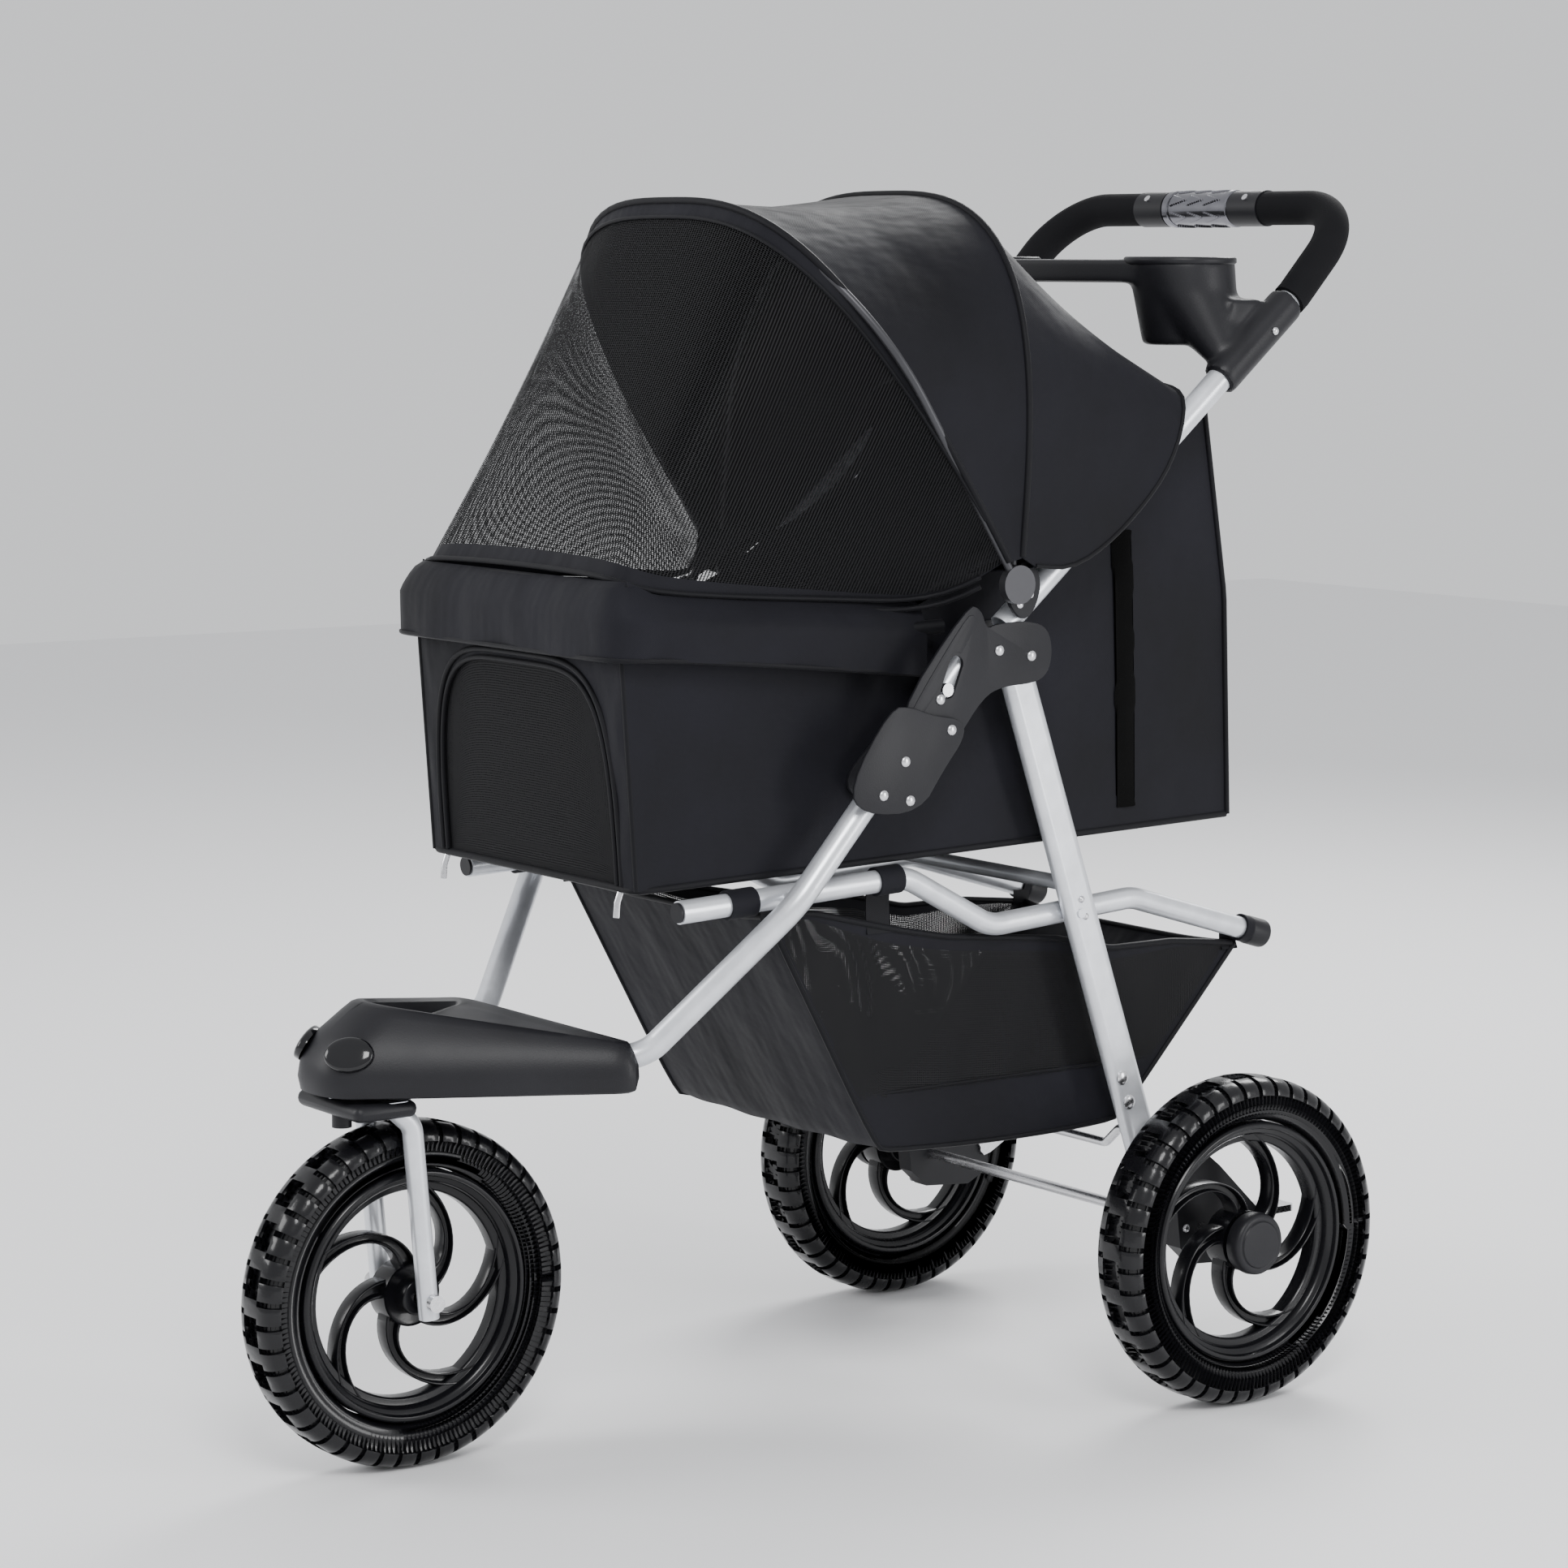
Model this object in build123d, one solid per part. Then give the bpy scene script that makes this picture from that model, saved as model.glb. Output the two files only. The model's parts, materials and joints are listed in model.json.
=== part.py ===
"""Three-wheel folding pet stroller. Millimetres; +X is the stroller's left, -Y is forward, +Z is up.
The origin is on the ground, under the middle of the stroller's length."""
import os
from math import atan2, cos, degrees, hypot, radians, sin

from build123d import *

# Wheels
wheel_radius = 142.5
tyre_width = 46.0
rim_radius = 104.0
wheelbase = 685.0
rear_axle_y = 324.0
rear_track = 488.0
axle_radius = 5.0
running_gap = 0.05
tube_wall = 1.5
front_axle_y = rear_axle_y - wheelbase
front_axle_radius = 4.0
caster_y = front_axle_y - 31.0
recess_floor = 351.5

# Frame tubes: radius, and distance of each pair from the middle plane
leg_radius = 10.5
front_leg_x = 192.0
handle_radius = 11.0
handle_x = 193.0
basket_tube_radius = 9.5
basket_tube_front_x = 159.0
basket_tube_rear_x = 154.5
rear_leg_x = 172.75
rear_leg_thickness = 15.5
rear_leg_width = 32.0

# Pivots of the folding linkage, as (y, z)
fold_pivot = (32.0, 597.0)
rear_leg_pivot = (124.0, 652.0)
basket_rear_pivot = (198.0, 428.0)
basket_front_pivot = (-101.0, 464.0)
pedal_pivot = (384.0, 140.0)

# Side plates, from the middle plane outwards
lower_inner_x = 157.8
upper_inner_x = 161.5
upper_outer_x = 204.5
lower_outer_x = 208.3
plate_thickness = 3.0
fold_pin_radius = 3.0
slot_centre = (35.0, 639.5)
slot_angle = 68.0
lock_pin_radius = 5.5

# Cabin
cabin_half_width = 155.0
cloth = 3.7
floor_front = (-237.0, 479.0)
floor_rear = (384.0, 497.0)
floor_thickness = 6.0
pad_thickness = 20.0

# Canopy: the bows turn about a line through this point
canopy_pivot = (96.0, 713.0)
canopy_half_width = 223.0
front_bow_angle, front_bow_height = 123.0, 372.0
rear_bow_angle, rear_bow_height = 85.5, 322.0
hem_angle, hem_height = 38.0, 255.0
rim_angle, rim_height = 178.0, 341.0
bow_corner = 195.0
bow_radius = 3.5
canopy_start = 25.0

# Handle
grip_y, grip_z = 486.5, 1024.0
grip_radius = 15.0
barrel_half = 44.0
collar_half = 82.0
tray_top = 979.0


def side_plane(x):
    """A sketch plane whose first axis is the stroller's Y and whose second is Z."""
    return Plane(origin=(x, 0, 0), x_dir=(0, 1, 0), z_dir=(1, 0, 0))


def plate(points, x, thickness):
    """A flat plate with its outline in the side view, from x to x + thickness."""
    with BuildSketch(side_plane(x)) as s:
        Polygon(*points, align=None)
    return extrude(s.sketch, amount=thickness)


def disc(x0, x1, y, z, radius):
    """A round bar along X between x0 and x1."""
    return Pos((x0 + x1) / 2, y, z) * Rot(0, 90, 0) * Cylinder(radius, x1 - x0)


def mirrored(shape):
    return mirror(shape, about=Plane.YZ)


def tube(points, radii, radius, wall=0.0):
    """A round tube along straight runs joined by tangent arcs."""
    path = FilletPolyline(*points, radius=radii) if radii else Polyline(*points)
    start = Plane(origin=path @ 0, z_dir=path % 0)
    profile = start * Circle(radius)
    if wall:
        profile -= start * Circle(radius - wall)
    return sweep(profile, path)


def save(shape, name):
    solids = shape.solids() if hasattr(shape, "solids") else shape
    body = solids[0] if len(solids) == 1 else Compound(children=list(solids))
    export_step(body, f"parts/{name}.step")


def save_pair(shape, name):
    save(shape, f"{name}_left")
    save(mirrored(shape), f"{name}_right")


# ---------------------------------------------------------------- wheels
def tyre(x, y):
    """A rounded tyre on its rim, with a shallow seat on the inside."""
    half = tyre_width / 2
    with BuildSketch(Plane.XZ) as s:
        with BuildLine():
            bead = rim_radius + 0.3
            Polyline((-half + 5, bead), (-half, bead + 9), (-half, wheel_radius - 12))
            Spline((-half, wheel_radius - 12), (-half + 7, wheel_radius - 3), (0, wheel_radius),
                   (half - 7, wheel_radius - 3), (half, wheel_radius - 12))
            Polyline((half, wheel_radius - 12), (half, bead + 9), (half - 5, bead), (-half + 5, bead))
        make_face()
    return Pos(x, y, wheel_radius) * revolve(s.sketch, Axis.X)


def rim(x, y, bore, hub_low, hub_high):
    """A moulded rim: outer band, five curved spokes and a hub. hub_low and hub_high are its ends in X."""
    band = Cylinder(rim_radius, 40) - Cylinder(rim_radius - 12, 40)
    web = Cylinder(rim_radius - 12, 18) - Cylinder(rim_radius - 19, 18)
    spokes = []
    for turn in range(5):
        arc = Rot(0, 0, 72 * turn) * RadiusArc((18, 8), (58, 68), -62)
        spokes.append(Pos(0, 0, -7) * extrude(SlotArc(arc, 13), amount=14))
    wheel = (band + web + Cylinder(26, 26)).fuse(*spokes)
    wheel = Rot(0, 90, 0) * wheel
    wheel += disc(hub_low - x, hub_high - x, 0, 0, 17)
    wheel = Pos(x, y, wheel_radius) * wheel
    return wheel - disc(hub_low - 1, hub_high + 1, y, wheel_radius, bore + running_gap)


def build_wheels():
    rear_x = rear_track / 2
    save(tyre(0, front_axle_y), "front_tyre")
    save(rim(0, front_axle_y, front_axle_radius, -25, 25), "front_rim")
    rear_rim = rim(rear_x, rear_axle_y, axle_radius, rear_x - 22, rear_x + 16)
    save_pair(tyre(rear_x, rear_axle_y), "rear_tyre")
    save_pair(rear_rim, "rear_rim")
    cap = disc(rear_x + 16.2, rear_x + 32, rear_axle_y, wheel_radius, 27)
    cap = fillet(cap.edges().sort_by(Axis.X)[-1:], 8)
    cap -= disc(rear_x + 15, rear_x + 19.5, rear_axle_y, wheel_radius, 9)
    save_pair(cap, "hub_cap")


# ---------------------------------------------------------------- front frame
def front_leg(wall=0.0):
    """Bent tube from the side plate down to the caster housing."""
    points = [(front_leg_x, 58, 650), (front_leg_x - 2, -108, 462), (122, -208, 340), (38, -366, 331)]
    return tube(points, [90, 40], leg_radius, wall)


def fender_outline(nose_y, nose_half, rear_y, rear_half, corner):
    with BuildSketch() as s:
        Polygon((-rear_half, rear_y), (-nose_half, nose_y), (nose_half, nose_y), (rear_half, rear_y),
                align=None)
        fillet(s.vertices(), corner)
    return s.sketch


def fender(legs):
    """Wedge-shaped cover over the caster with a tray recess on top and a pocket below."""
    slope = degrees(atan2(385 - 352, 180))
    bottom = Pos(0, 0, 314) * fender_outline(-446, 30, -221, 146, 20)
    middle = Pos(0, 0, 336) * fender_outline(-448, 33, -219, 148, 20)
    top_plane = Pos(0, -400, 385) * Rot(-slope, 0, 0)
    top = top_plane * fender_outline(2, 24, 180, 134, 20)
    shell = loft([bottom.face(), middle.face()], ruled=True) + loft([middle.face(), top.face()], ruled=True)
    recess = Pos(0, 0, recess_floor) * extrude(fender_outline(-386, 14, -236, 112, 12), amount=40)
    shell -= recess
    shell -= Pos(0, caster_y, 314) * Cylinder(27, 68)
    for leg in legs:
        shell -= leg
    return shell


def caster_housing():
    """Bearing sleeve in the fender's pocket; the fork's stem turns inside it."""
    sleeve = Pos(0, caster_y, 331) * (Cylinder(26.5, 33) - Cylinder(8 + running_gap, 33))
    return sleeve


def side_plates():
    """Upper plate (turns with the handle) and lower cover (fixed to the front leg), left side."""
    front = [(51, 696), (63, 693), (70, 677), (79, 680), (117, 681), (134, 673), (139, 655), (134, 639),
             (122, 631), (88, 630), (68, 622), (42, 590), (28, 573), (8, 580), (-24, 606)]
    upper = plate(front, upper_outer_x, plate_thickness)
    with BuildSketch(side_plane(upper_outer_x)) as slot:
        with Locations(slot_centre):
            SlotOverall(36, 14, rotation=slot_angle)
    upper -= extrude(slot.sketch, amount=10)
    inner_outline = [(60, 640), (84, 676), (117, 681), (136, 668), (139, 652), (134, 636), (110, 628),
                     (60, 600), (44, 582), (26, 582), (16, 596)]
    upper += plate(inner_outline, upper_inner_x, plate_thickness)
    upper += disc(upper_inner_x, upper_outer_x + 1, 84, 659, 5)
    upper += disc(upper_inner_x - 1, upper_inner_x + plate_thickness, *rear_leg_pivot, 4)
    upper += disc(rear_leg_x + rear_leg_thickness / 2 + 0.7, upper_outer_x + plate_thickness + 1.5,
                  *rear_leg_pivot, 4)
    upper += disc(upper_inner_x, upper_outer_x + 1, *fold_pivot, 4.8)
    upper -= disc(150, 215, *fold_pivot, fold_pin_radius + running_gap)
    cover = [(-29, 618), (-8, 617), (12, 609), (44, 604), (45, 590), (25, 566), (0, 532), (-57, 534), (-71, 556)]
    lower = plate(cover, lower_outer_x, plate_thickness)
    inner_cover = [(16, 607), (40, 610), (47, 598), (44, 586), (4, 536), (-24, 536), (-40, 556), (-6, 588)]
    lower += plate(inner_cover, lower_inner_x, plate_thickness)
    lower += disc(lower_inner_x, lower_outer_x + plate_thickness + 1.5, *fold_pivot, fold_pin_radius)
    lower += disc(lower_inner_x, lower_outer_x + 1, -10, 542, 4)
    return upper, lower


def build_front_frame():
    leg = front_leg()
    save_pair(front_leg(tube_wall), "front_leg")
    lower = side_plates()[1] - leg
    lower += disc(front_leg_x + leg_radius - 1, lower_outer_x + 1, -37, 548, 5) - leg
    save_pair(lower, "lower_cover")
    save(fender([leg, mirrored(leg)]), "front_fender")
    save(caster_housing(), "caster_housing")
    lens = Pos(39, -418, 352) * Rot(0, 64, -28) * Cylinder(19, 7)
    lens -= fender([])
    lens = Compound(children=[lens.solids().sort_by(SortBy.VOLUME)[-1]])
    save(Compound(children=lens.solids() + mirrored(lens).solids()), "fender_lenses")


# ---------------------------------------------------------------- caster fork
def build_fork():
    stem = Pos(0, caster_y, 327) * Cylinder(8, 34)
    crown = Pos(0, caster_y, 304) * Box(92, 30, 12)
    crown = fillet(crown.edges().filter_by(Axis.Z), 10)
    knob_y = caster_y - 26
    crown += Pos(0, knob_y, 304) * Cylinder(11, 12) + Pos(0, caster_y - 16, 304) * Box(22, 20, 12)
    crown -= Pos(0, knob_y, 304) * Cylinder(4 + running_gap, 14)
    fork_x = 37.0
    leg = tube([(fork_x, caster_y - 1, 304), (fork_x, front_axle_y - 14, 288), (fork_x, front_axle_y + 1, 128)],
               [18], 8.5)
    fork = (stem + crown).fuse(leg, mirrored(leg))
    fork -= disc(-60, 60, front_axle_y, wheel_radius, front_axle_radius)
    save(fork, "front_fork")
    bolt = disc(-45, 45, front_axle_y, wheel_radius, front_axle_radius)
    for end in (-1, 1):
        bolt += disc(min(end * 46, end * 52), max(end * 46, end * 52), front_axle_y, wheel_radius, 7)
        bolt += disc(min(end * 44, end * 47), max(end * 44, end * 47), front_axle_y, wheel_radius, 4)
    save(bolt, "front_axle")
    knob = Pos(0, knob_y, 303) * Cylinder(4, 20) + Pos(0, knob_y, 291.5) * Cylinder(8, 12)
    save(knob, "swivel_lock_knob")


# ---------------------------------------------------------------- rear frame
def on_rear_leg(distance):
    """(y, z) at a distance down the rear leg from its top pivot."""
    length = hypot(278 - rear_leg_pivot[0], rear_leg_pivot[1] - 212)
    share = distance / length
    return (rear_leg_pivot[0] + share * (278 - rear_leg_pivot[0]),
            rear_leg_pivot[1] - share * (rear_leg_pivot[1] - 212))


def rear_leg():
    """Flattened tube from the upper plate's lobe to the axle bracket."""
    top, bottom = on_rear_leg(-16), on_rear_leg(466)
    tilt = degrees(atan2(bottom[0] - top[0], top[1] - bottom[1]))
    centre = ((top[0] + bottom[0]) / 2, (top[1] + bottom[1]) / 2)
    section = SlotOverall(rear_leg_width, rear_leg_thickness)
    length = hypot(top[0] - bottom[0], top[1] - bottom[1])
    bar = Pos(0, 0, -length / 2) * extrude(Rot(0, 0, 90) * section, amount=length)
    bar = Pos(rear_leg_x, *centre) * Rot(tilt, 0, 0) * bar
    return bar


def build_rear_frame():
    leg = rear_leg()
    leg -= disc(150, 200, *rear_leg_pivot, 4.6)
    leg -= disc(150, 200, *basket_rear_pivot, 4 + running_gap)
    bracket = plate([(286, 236), (306, 226), (344, 196), (392, 150), (392, 120), (368, 108), (318, 112),
                     (300, 128), (296, 160), (262, 214)], 181, 18)
    bracket -= disc(170, 210, rear_axle_y, wheel_radius, axle_radius + running_gap)
    bracket -= disc(170, 210, *pedal_pivot, 4 + running_gap)
    bracket -= leg
    save_pair(leg, "rear_leg")
    save_pair(bracket, "axle_bracket")
    end = rear_track / 2 + 18.5
    axle = disc(-end, end, rear_axle_y, wheel_radius, axle_radius)
    for side in (-1, 1):
        axle += disc(min(side * 214, side * 220), max(side * 214, side * 220), rear_axle_y, wheel_radius, 10)
    save(axle, "rear_axle")
    cross_y, cross_z = on_rear_leg(212)
    inner = rear_leg_x - rear_leg_thickness / 2
    bar = disc(-inner, inner, cross_y, cross_z, 6.5)
    save(bar, "rear_cross_tube")
    low_y, low_z = on_rear_leg(448)
    rod = tube([(-inner, low_y, low_z), (-inner + 16, low_y, low_z), (-inner + 34, low_y, low_z - 16),
                (inner - 34, low_y, low_z - 16), (inner - 16, low_y, low_z), (inner, low_y, low_z)],
               [8, 8, 8, 8], 4)
    save(rod, "lower_cross_rod")
    pad = fillet((Pos(190, 414, 149) * Box(30, 30, 6)).edges().filter_by(Axis.Z), 6)
    cheek = [(378, 146), (384, 134), (392, 136), (412, 147), (412, 151), (392, 148)]
    pedal = pad + plate(cheek, 199.6, 3) + plate(cheek, 177.4, 3) + disc(177.4, 202.6, *pedal_pivot, 4)
    save_pair(pedal, "brake_pedal")


# ---------------------------------------------------------------- basket frame
def basket_tube_x(y):
    """The tubes draw in a little towards the rear, to pass inside the rear legs."""
    share = min(max((y + 201) / (basket_rear_pivot[0] + 201), 0), 1)
    return basket_tube_front_x + share * (basket_tube_rear_x - basket_tube_front_x)


def basket_tube():
    route = [(-201, 460), (28, 470), (119, 421), (276, 432), (422, 388.6)]
    points = [(basket_tube_x(y), y, z) for y, z in route]
    return tube(points, [45, 45, 45], basket_tube_radius, tube_wall)


def strap(y, z, tilt, width):
    ring = Cylinder(basket_tube_radius + 2.6, width) - Cylinder(basket_tube_radius + 0.5, width)
    return Pos(basket_tube_x(y), y, z) * Rot(90 + tilt, 0, 0) * ring


def build_basket():
    pin_rear = disc(basket_tube_rear_x, rear_leg_x + 9.5, *basket_rear_pivot, 4)
    pin_front = disc(basket_tube_x(-101), front_leg_x - leg_radius - 4.4, *basket_front_pivot, 5)
    save_pair(basket_tube() + pin_rear + pin_front, "basket_tube")
    straps = [strap(-142, 462.6, 2.5, 26), strap(8, 469.1, 2.5, 24), strap(411, 392, -16.5, 20)]
    solids = [s for one in straps for s in one.solids()]
    solids += [s for one in straps for s in mirrored(one).solids()]
    save(Compound(children=solids), "basket_straps")
    half = 148.0
    outline = [(-95, 428), (11, 240), (268, 235), (402, 376), (250, 404), (119, 398), (40, 408)]
    side = plate(outline, half - cloth, cloth)
    save_pair(side, "basket_side")
    inner = half - cloth - 0.2
    front = plate([(-95, 432), (11, 243.5), (15, 243.5), (-90, 434)], -inner, 2 * inner)
    rear = plate([(268, 238.5), (403, 377), (399, 379), (264, 238.5)], -inner, 2 * inner)
    floor = plate([(11, 239), (268, 234.5), (268, 238), (11, 243)], -inner, 2 * inner)
    save(front, "basket_front")
    save(rear, "basket_rear")
    save(floor, "basket_floor")


# ---------------------------------------------------------------- cabin
def door_outline(grow, y, depth):
    """The arched door in the cabin's front panel, as a solid."""
    foot, shoulder, top, half = 496 - grow, 585, 648 + grow, 130 + grow
    plane = Plane(origin=(0, y, 0), x_dir=(1, 0, 0), z_dir=(0, -1, 0))
    with BuildSketch(plane) as s:
        with BuildLine():
            Polyline((-half + 8, shoulder), (-half, foot), (half, foot), (half - 8, shoulder))
            ThreePointArc((half - 8, shoulder), (0, top), (-half + 8, shoulder))
        make_face()
    return extrude(s.sketch, amount=depth, both=True)


def build_cabin():
    inner = cabin_half_width - cloth - 0.2
    a, b = floor_front, floor_rear
    floor = plate([(a[0] + 6, a[1] + 1), (b[0] - 6, b[1] + 1), (b[0] - 6, b[1] + 1 + floor_thickness),
                   (a[0] + 6, a[1] + 1 + floor_thickness)], -inner, 2 * inner)
    lift = 1.4 + floor_thickness
    pad = plate([(a[0] + 8, a[1] + lift), (b[0] - 8, b[1] + lift), (b[0] - 8, b[1] + lift + pad_thickness),
                 (a[0] + 8, a[1] + lift + pad_thickness)], -inner + 4, 2 * inner - 8)
    save(floor, "cabin_floor")
    save(pad, "floor_pad")
    front = plate([(-237, 479), (-251, 661), (-247, 722), (-243, 722), (-247, 661), (-233, 479)],
                  -inner, 2 * inner)
    save(front - door_outline(0.5, -240, 30), "cabin_front")
    rear = plate([(384, 497), (376, 690), (350, 848), (346, 847), (372, 690), (380, 497)], -inner, 2 * inner)
    save(rear, "cabin_rear")
    side = plate([(-237, 479), (384, 497), (376, 690), (350, 848), (285, 840), (200, 760), (100, 712),
                  (40, 690), (-60, 699), (-170, 708), (-247, 722), (-251, 661)],
                 cabin_half_width - cloth, cloth)
    save_pair(side, "cabin_side")
    door = (front_door_panel() & door_outline(0, -240, 30)) + disc(-125, 125, -237, 499, 2.2)
    save(door, "front_door")
    hoop = tube([(173.5, 51.2, 678), (164, 20, 676), (164, -262, 694), (-164, -262, 694), (-164, 20, 676),
                 (-173.5, 51.2, 678)], [20, 40, 40, 20], 6)
    save(hoop, "cabin_rim_hoop")
    flap_side = plate([(-266, 664), (14, 639), (14, 676), (-266, 698)], 171, 2)
    flap_front = plate([(-272, 664), (-270, 664), (-270, 700), (-272, 700)], -171, 342)
    flap = flap_front + flap_side + mirrored(flap_side)
    corner = plate([(-272, 664), (-262, 664), (-262, 698), (-272, 700)], 169, 4)
    save(flap + corner + mirrored(corner), "front_flap")


def front_door_panel():
    return plate([(-237.2, 482), (-251.0, 661), (-248.0, 661), (-234.2, 482)], -140, 280)


# ---------------------------------------------------------------- canopy
def canopy_plane(angle):
    """A plane through the canopy pivots: first axis along X, second away from the pivots."""
    direction = Vector(0, cos(radians(angle)), sin(radians(angle)))
    return Plane(origin=(0, *canopy_pivot), x_dir=(1, 0, 0), z_dir=Vector(1, 0, 0).cross(direction))


def arch(angle, height, low_half, high_half, corner, thickness=3.0):
    """A thin arch-shaped face on the plane at this angle."""
    def loop(inset):
        return FilletPolyline((low_half - inset, canopy_start), (high_half - inset, height - inset),
                              (-high_half + inset, height - inset), (-low_half + inset, canopy_start),
                              radius=corner - inset)
    outer, inner = loop(0), loop(thickness)
    ends = [Line(outer @ 1, inner @ 1), Line(outer @ 0, inner @ 0)]
    face = make_face(outer.edges() + inner.edges() + ends)
    return canopy_plane(angle) * face


def bow(angle, height, inset):
    """A wire bow from pivot to pivot, just inside the cloth."""
    half = canopy_half_width - inset
    top = height - inset
    points = [canopy_plane(angle).from_local_coords(p) for p in
              ((half, 14, 0), (half, top, 0), (-half, top, 0), (-half, 14, 0))]
    return tube([tuple(p) for p in points], [bow_corner - inset] * 2, bow_radius)


def build_canopy():
    eye = disc(canopy_half_width - 12, canopy_half_width - 4, *canopy_pivot, 16)
    front_bow = bow(front_bow_angle, front_bow_height, 8.0) + eye + mirrored(eye)
    save(front_bow, "canopy_front_bow")
    save(bow(rear_bow_angle, rear_bow_height, 16.0), "canopy_rear_bow")
    wide = canopy_half_width
    front = arch(front_bow_angle, front_bow_height, wide, wide, bow_corner)
    front_back = arch(front_bow_angle + 1, front_bow_height, wide, wide, bow_corner)
    rear = arch(rear_bow_angle, rear_bow_height, wide, wide, bow_corner)
    rear_front = arch(rear_bow_angle + 1, rear_bow_height, wide, wide, bow_corner)
    hem = arch(hem_angle, hem_height, wide, 212, 70)
    rim_edge = arch(rim_angle, rim_height, 208, 152, 62)
    save(loft([front.face(), rear_front.face()], ruled=True), "canopy_front_panel")
    save(loft([rear.face(), hem.face()], ruled=True), "canopy_rear_panel")
    save(loft([rim_edge.face(), front_back.face()], ruled=True), "canopy_window")


# ---------------------------------------------------------------- handle
def handle_corner():
    """(y, z) where the straight tube bends up into the grips."""
    return 417.0, 949.0


def handle_tube(wall=0.0):
    y, z = handle_corner()
    return tube([(handle_x, 98, 677), (handle_x, y, z), (handle_x, grip_y, grip_z), (46, grip_y, grip_z)],
                [60, 58], handle_radius, wall)


def foam_grip():
    y, z = handle_corner()
    outline = [(handle_x, y - 6, z - 5.1), (handle_x, y, z), (handle_x, grip_y, grip_z),
               (collar_half + 1, grip_y, grip_z)]
    return tube(outline, [7, 58], grip_radius)


def tray(tubes):
    """Parent tray: a cross bar, two tapered cups and two clamps around the handle tubes."""
    cup_x, cup_y = 132.0, 340.0
    with BuildSketch(Plane.XY.offset(tray_top - 18)) as top:
        with Locations((0, 318)):
            RectangleRounded(250, 44, 18)
        with Locations((cup_x, cup_y), (-cup_x, cup_y)):
            Circle(47)
    slab = extrude(top.sketch, amount=18)
    slab -= Pos(0, 318, tray_top) * Box(150, 30, 16)
    parts = [slab]
    hollows = []
    for side in (-1, 1):
        cup = Pos(side * cup_x, cup_y, tray_top - 44) * Cone(32, 45, 66)
        parts.append(cup)
        hollows.append(Pos(side * cup_x, cup_y, tray_top - 26) * Cone(30, 43, 96))
        y0, z0 = 332, 876.5
        y1, z1 = 404, 937.9
        clamp = tube([(side * handle_x, y0, z0), (side * handle_x, y1, z1)], None, 15.5)
        parts.append(clamp)
        arm = Pos(side * 170, 366, 918) * Box(34, 40, 34)
        parts.append(arm)
    body = parts[0].fuse(*parts[1:])
    body -= hollows[0]
    body -= hollows[1]
    body -= Pos(0, 330, tray_top + 60) * Box(500, 300, 120)
    for one in tubes:
        body -= one
    return body


def build_handle():
    left = handle_tube()
    save_pair(handle_tube(tube_wall), "handle_tube")
    grip = foam_grip() - left
    save(Compound(children=grip.solids() + mirrored(grip).solids()), "foam_grips")
    bore_fit = handle_radius + running_gap
    thick = tube([(handle_x, 98, 677), (handle_x, *handle_corner()), (handle_x, grip_y, grip_z),
                  (46, grip_y, grip_z)], [60, 58], bore_fit)
    save(tray([thick, mirrored(thick)]), "parent_tray")
    upper = side_plates()[0] - left
    save_pair(upper, "upper_plate")
    collar = disc(barrel_half + 0.6, collar_half, grip_y, grip_z, 16) - left
    core = disc(-barrel_half - 1, barrel_half + 1, grip_y, grip_z, 7.5)
    save(core.fuse(collar, mirrored(collar)), "grip_collars")
    barrel = disc(-barrel_half, barrel_half, grip_y, grip_z, 17)
    barrel -= disc(-60, 60, grip_y, grip_z, 7.5 + running_gap)
    save(barrel, "release_barrel")
    pin_y = slot_centre[0] - 11 * cos(radians(slot_angle))
    pin_z = slot_centre[1] - 11 * sin(radians(slot_angle))
    pin = disc(upper_outer_x - 1.4, upper_outer_x + 3.4, pin_y, pin_z, lock_pin_radius)
    save(Compound(children=pin.solids() + mirrored(pin).solids()), "lock_pins")
    clip = plate([(98, 722), (112, 732), (130, 712), (118, 690), (106, 684), (90, 700)], 204.8, 5)
    save(Compound(children=clip.solids() + mirrored(clip).solids()), "canopy_clips")


def main():
    os.makedirs("parts", exist_ok=True)
    build_wheels()
    build_front_frame()
    build_fork()
    build_rear_frame()
    build_basket()
    build_cabin()
    build_canopy()
    build_handle()


main()
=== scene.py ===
"""Looks of the three-wheel pet stroller. Helpers take millimetres; +X is its left, -Y forward, +Z up."""

import json
from math import atan2, cos, hypot, pi, radians, sin

import bpy
from mathutils import Matrix, Vector


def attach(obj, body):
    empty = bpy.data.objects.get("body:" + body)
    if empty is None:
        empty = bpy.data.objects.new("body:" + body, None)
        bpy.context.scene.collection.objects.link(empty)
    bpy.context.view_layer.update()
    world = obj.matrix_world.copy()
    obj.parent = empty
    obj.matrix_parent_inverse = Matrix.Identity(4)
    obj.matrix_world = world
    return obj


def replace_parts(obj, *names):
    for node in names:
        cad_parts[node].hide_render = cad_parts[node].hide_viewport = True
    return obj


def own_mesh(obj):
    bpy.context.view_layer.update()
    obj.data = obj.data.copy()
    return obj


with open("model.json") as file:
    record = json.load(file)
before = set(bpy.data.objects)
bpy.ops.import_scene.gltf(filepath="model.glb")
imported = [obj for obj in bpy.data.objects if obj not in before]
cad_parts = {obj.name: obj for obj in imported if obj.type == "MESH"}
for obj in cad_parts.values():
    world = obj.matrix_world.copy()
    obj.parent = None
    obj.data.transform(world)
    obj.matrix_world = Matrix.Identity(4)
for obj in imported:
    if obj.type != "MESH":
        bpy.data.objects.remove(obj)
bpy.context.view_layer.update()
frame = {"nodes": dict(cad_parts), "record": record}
MM = 0.001
LEFT, RIGHT = (1, "left"), (-1, "right")


# ---------------------------------------------------------------- helpers
def only(obj):
    bpy.ops.object.select_all(action="DESELECT")
    obj.select_set(True)
    bpy.context.view_layer.objects.active = obj


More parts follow.
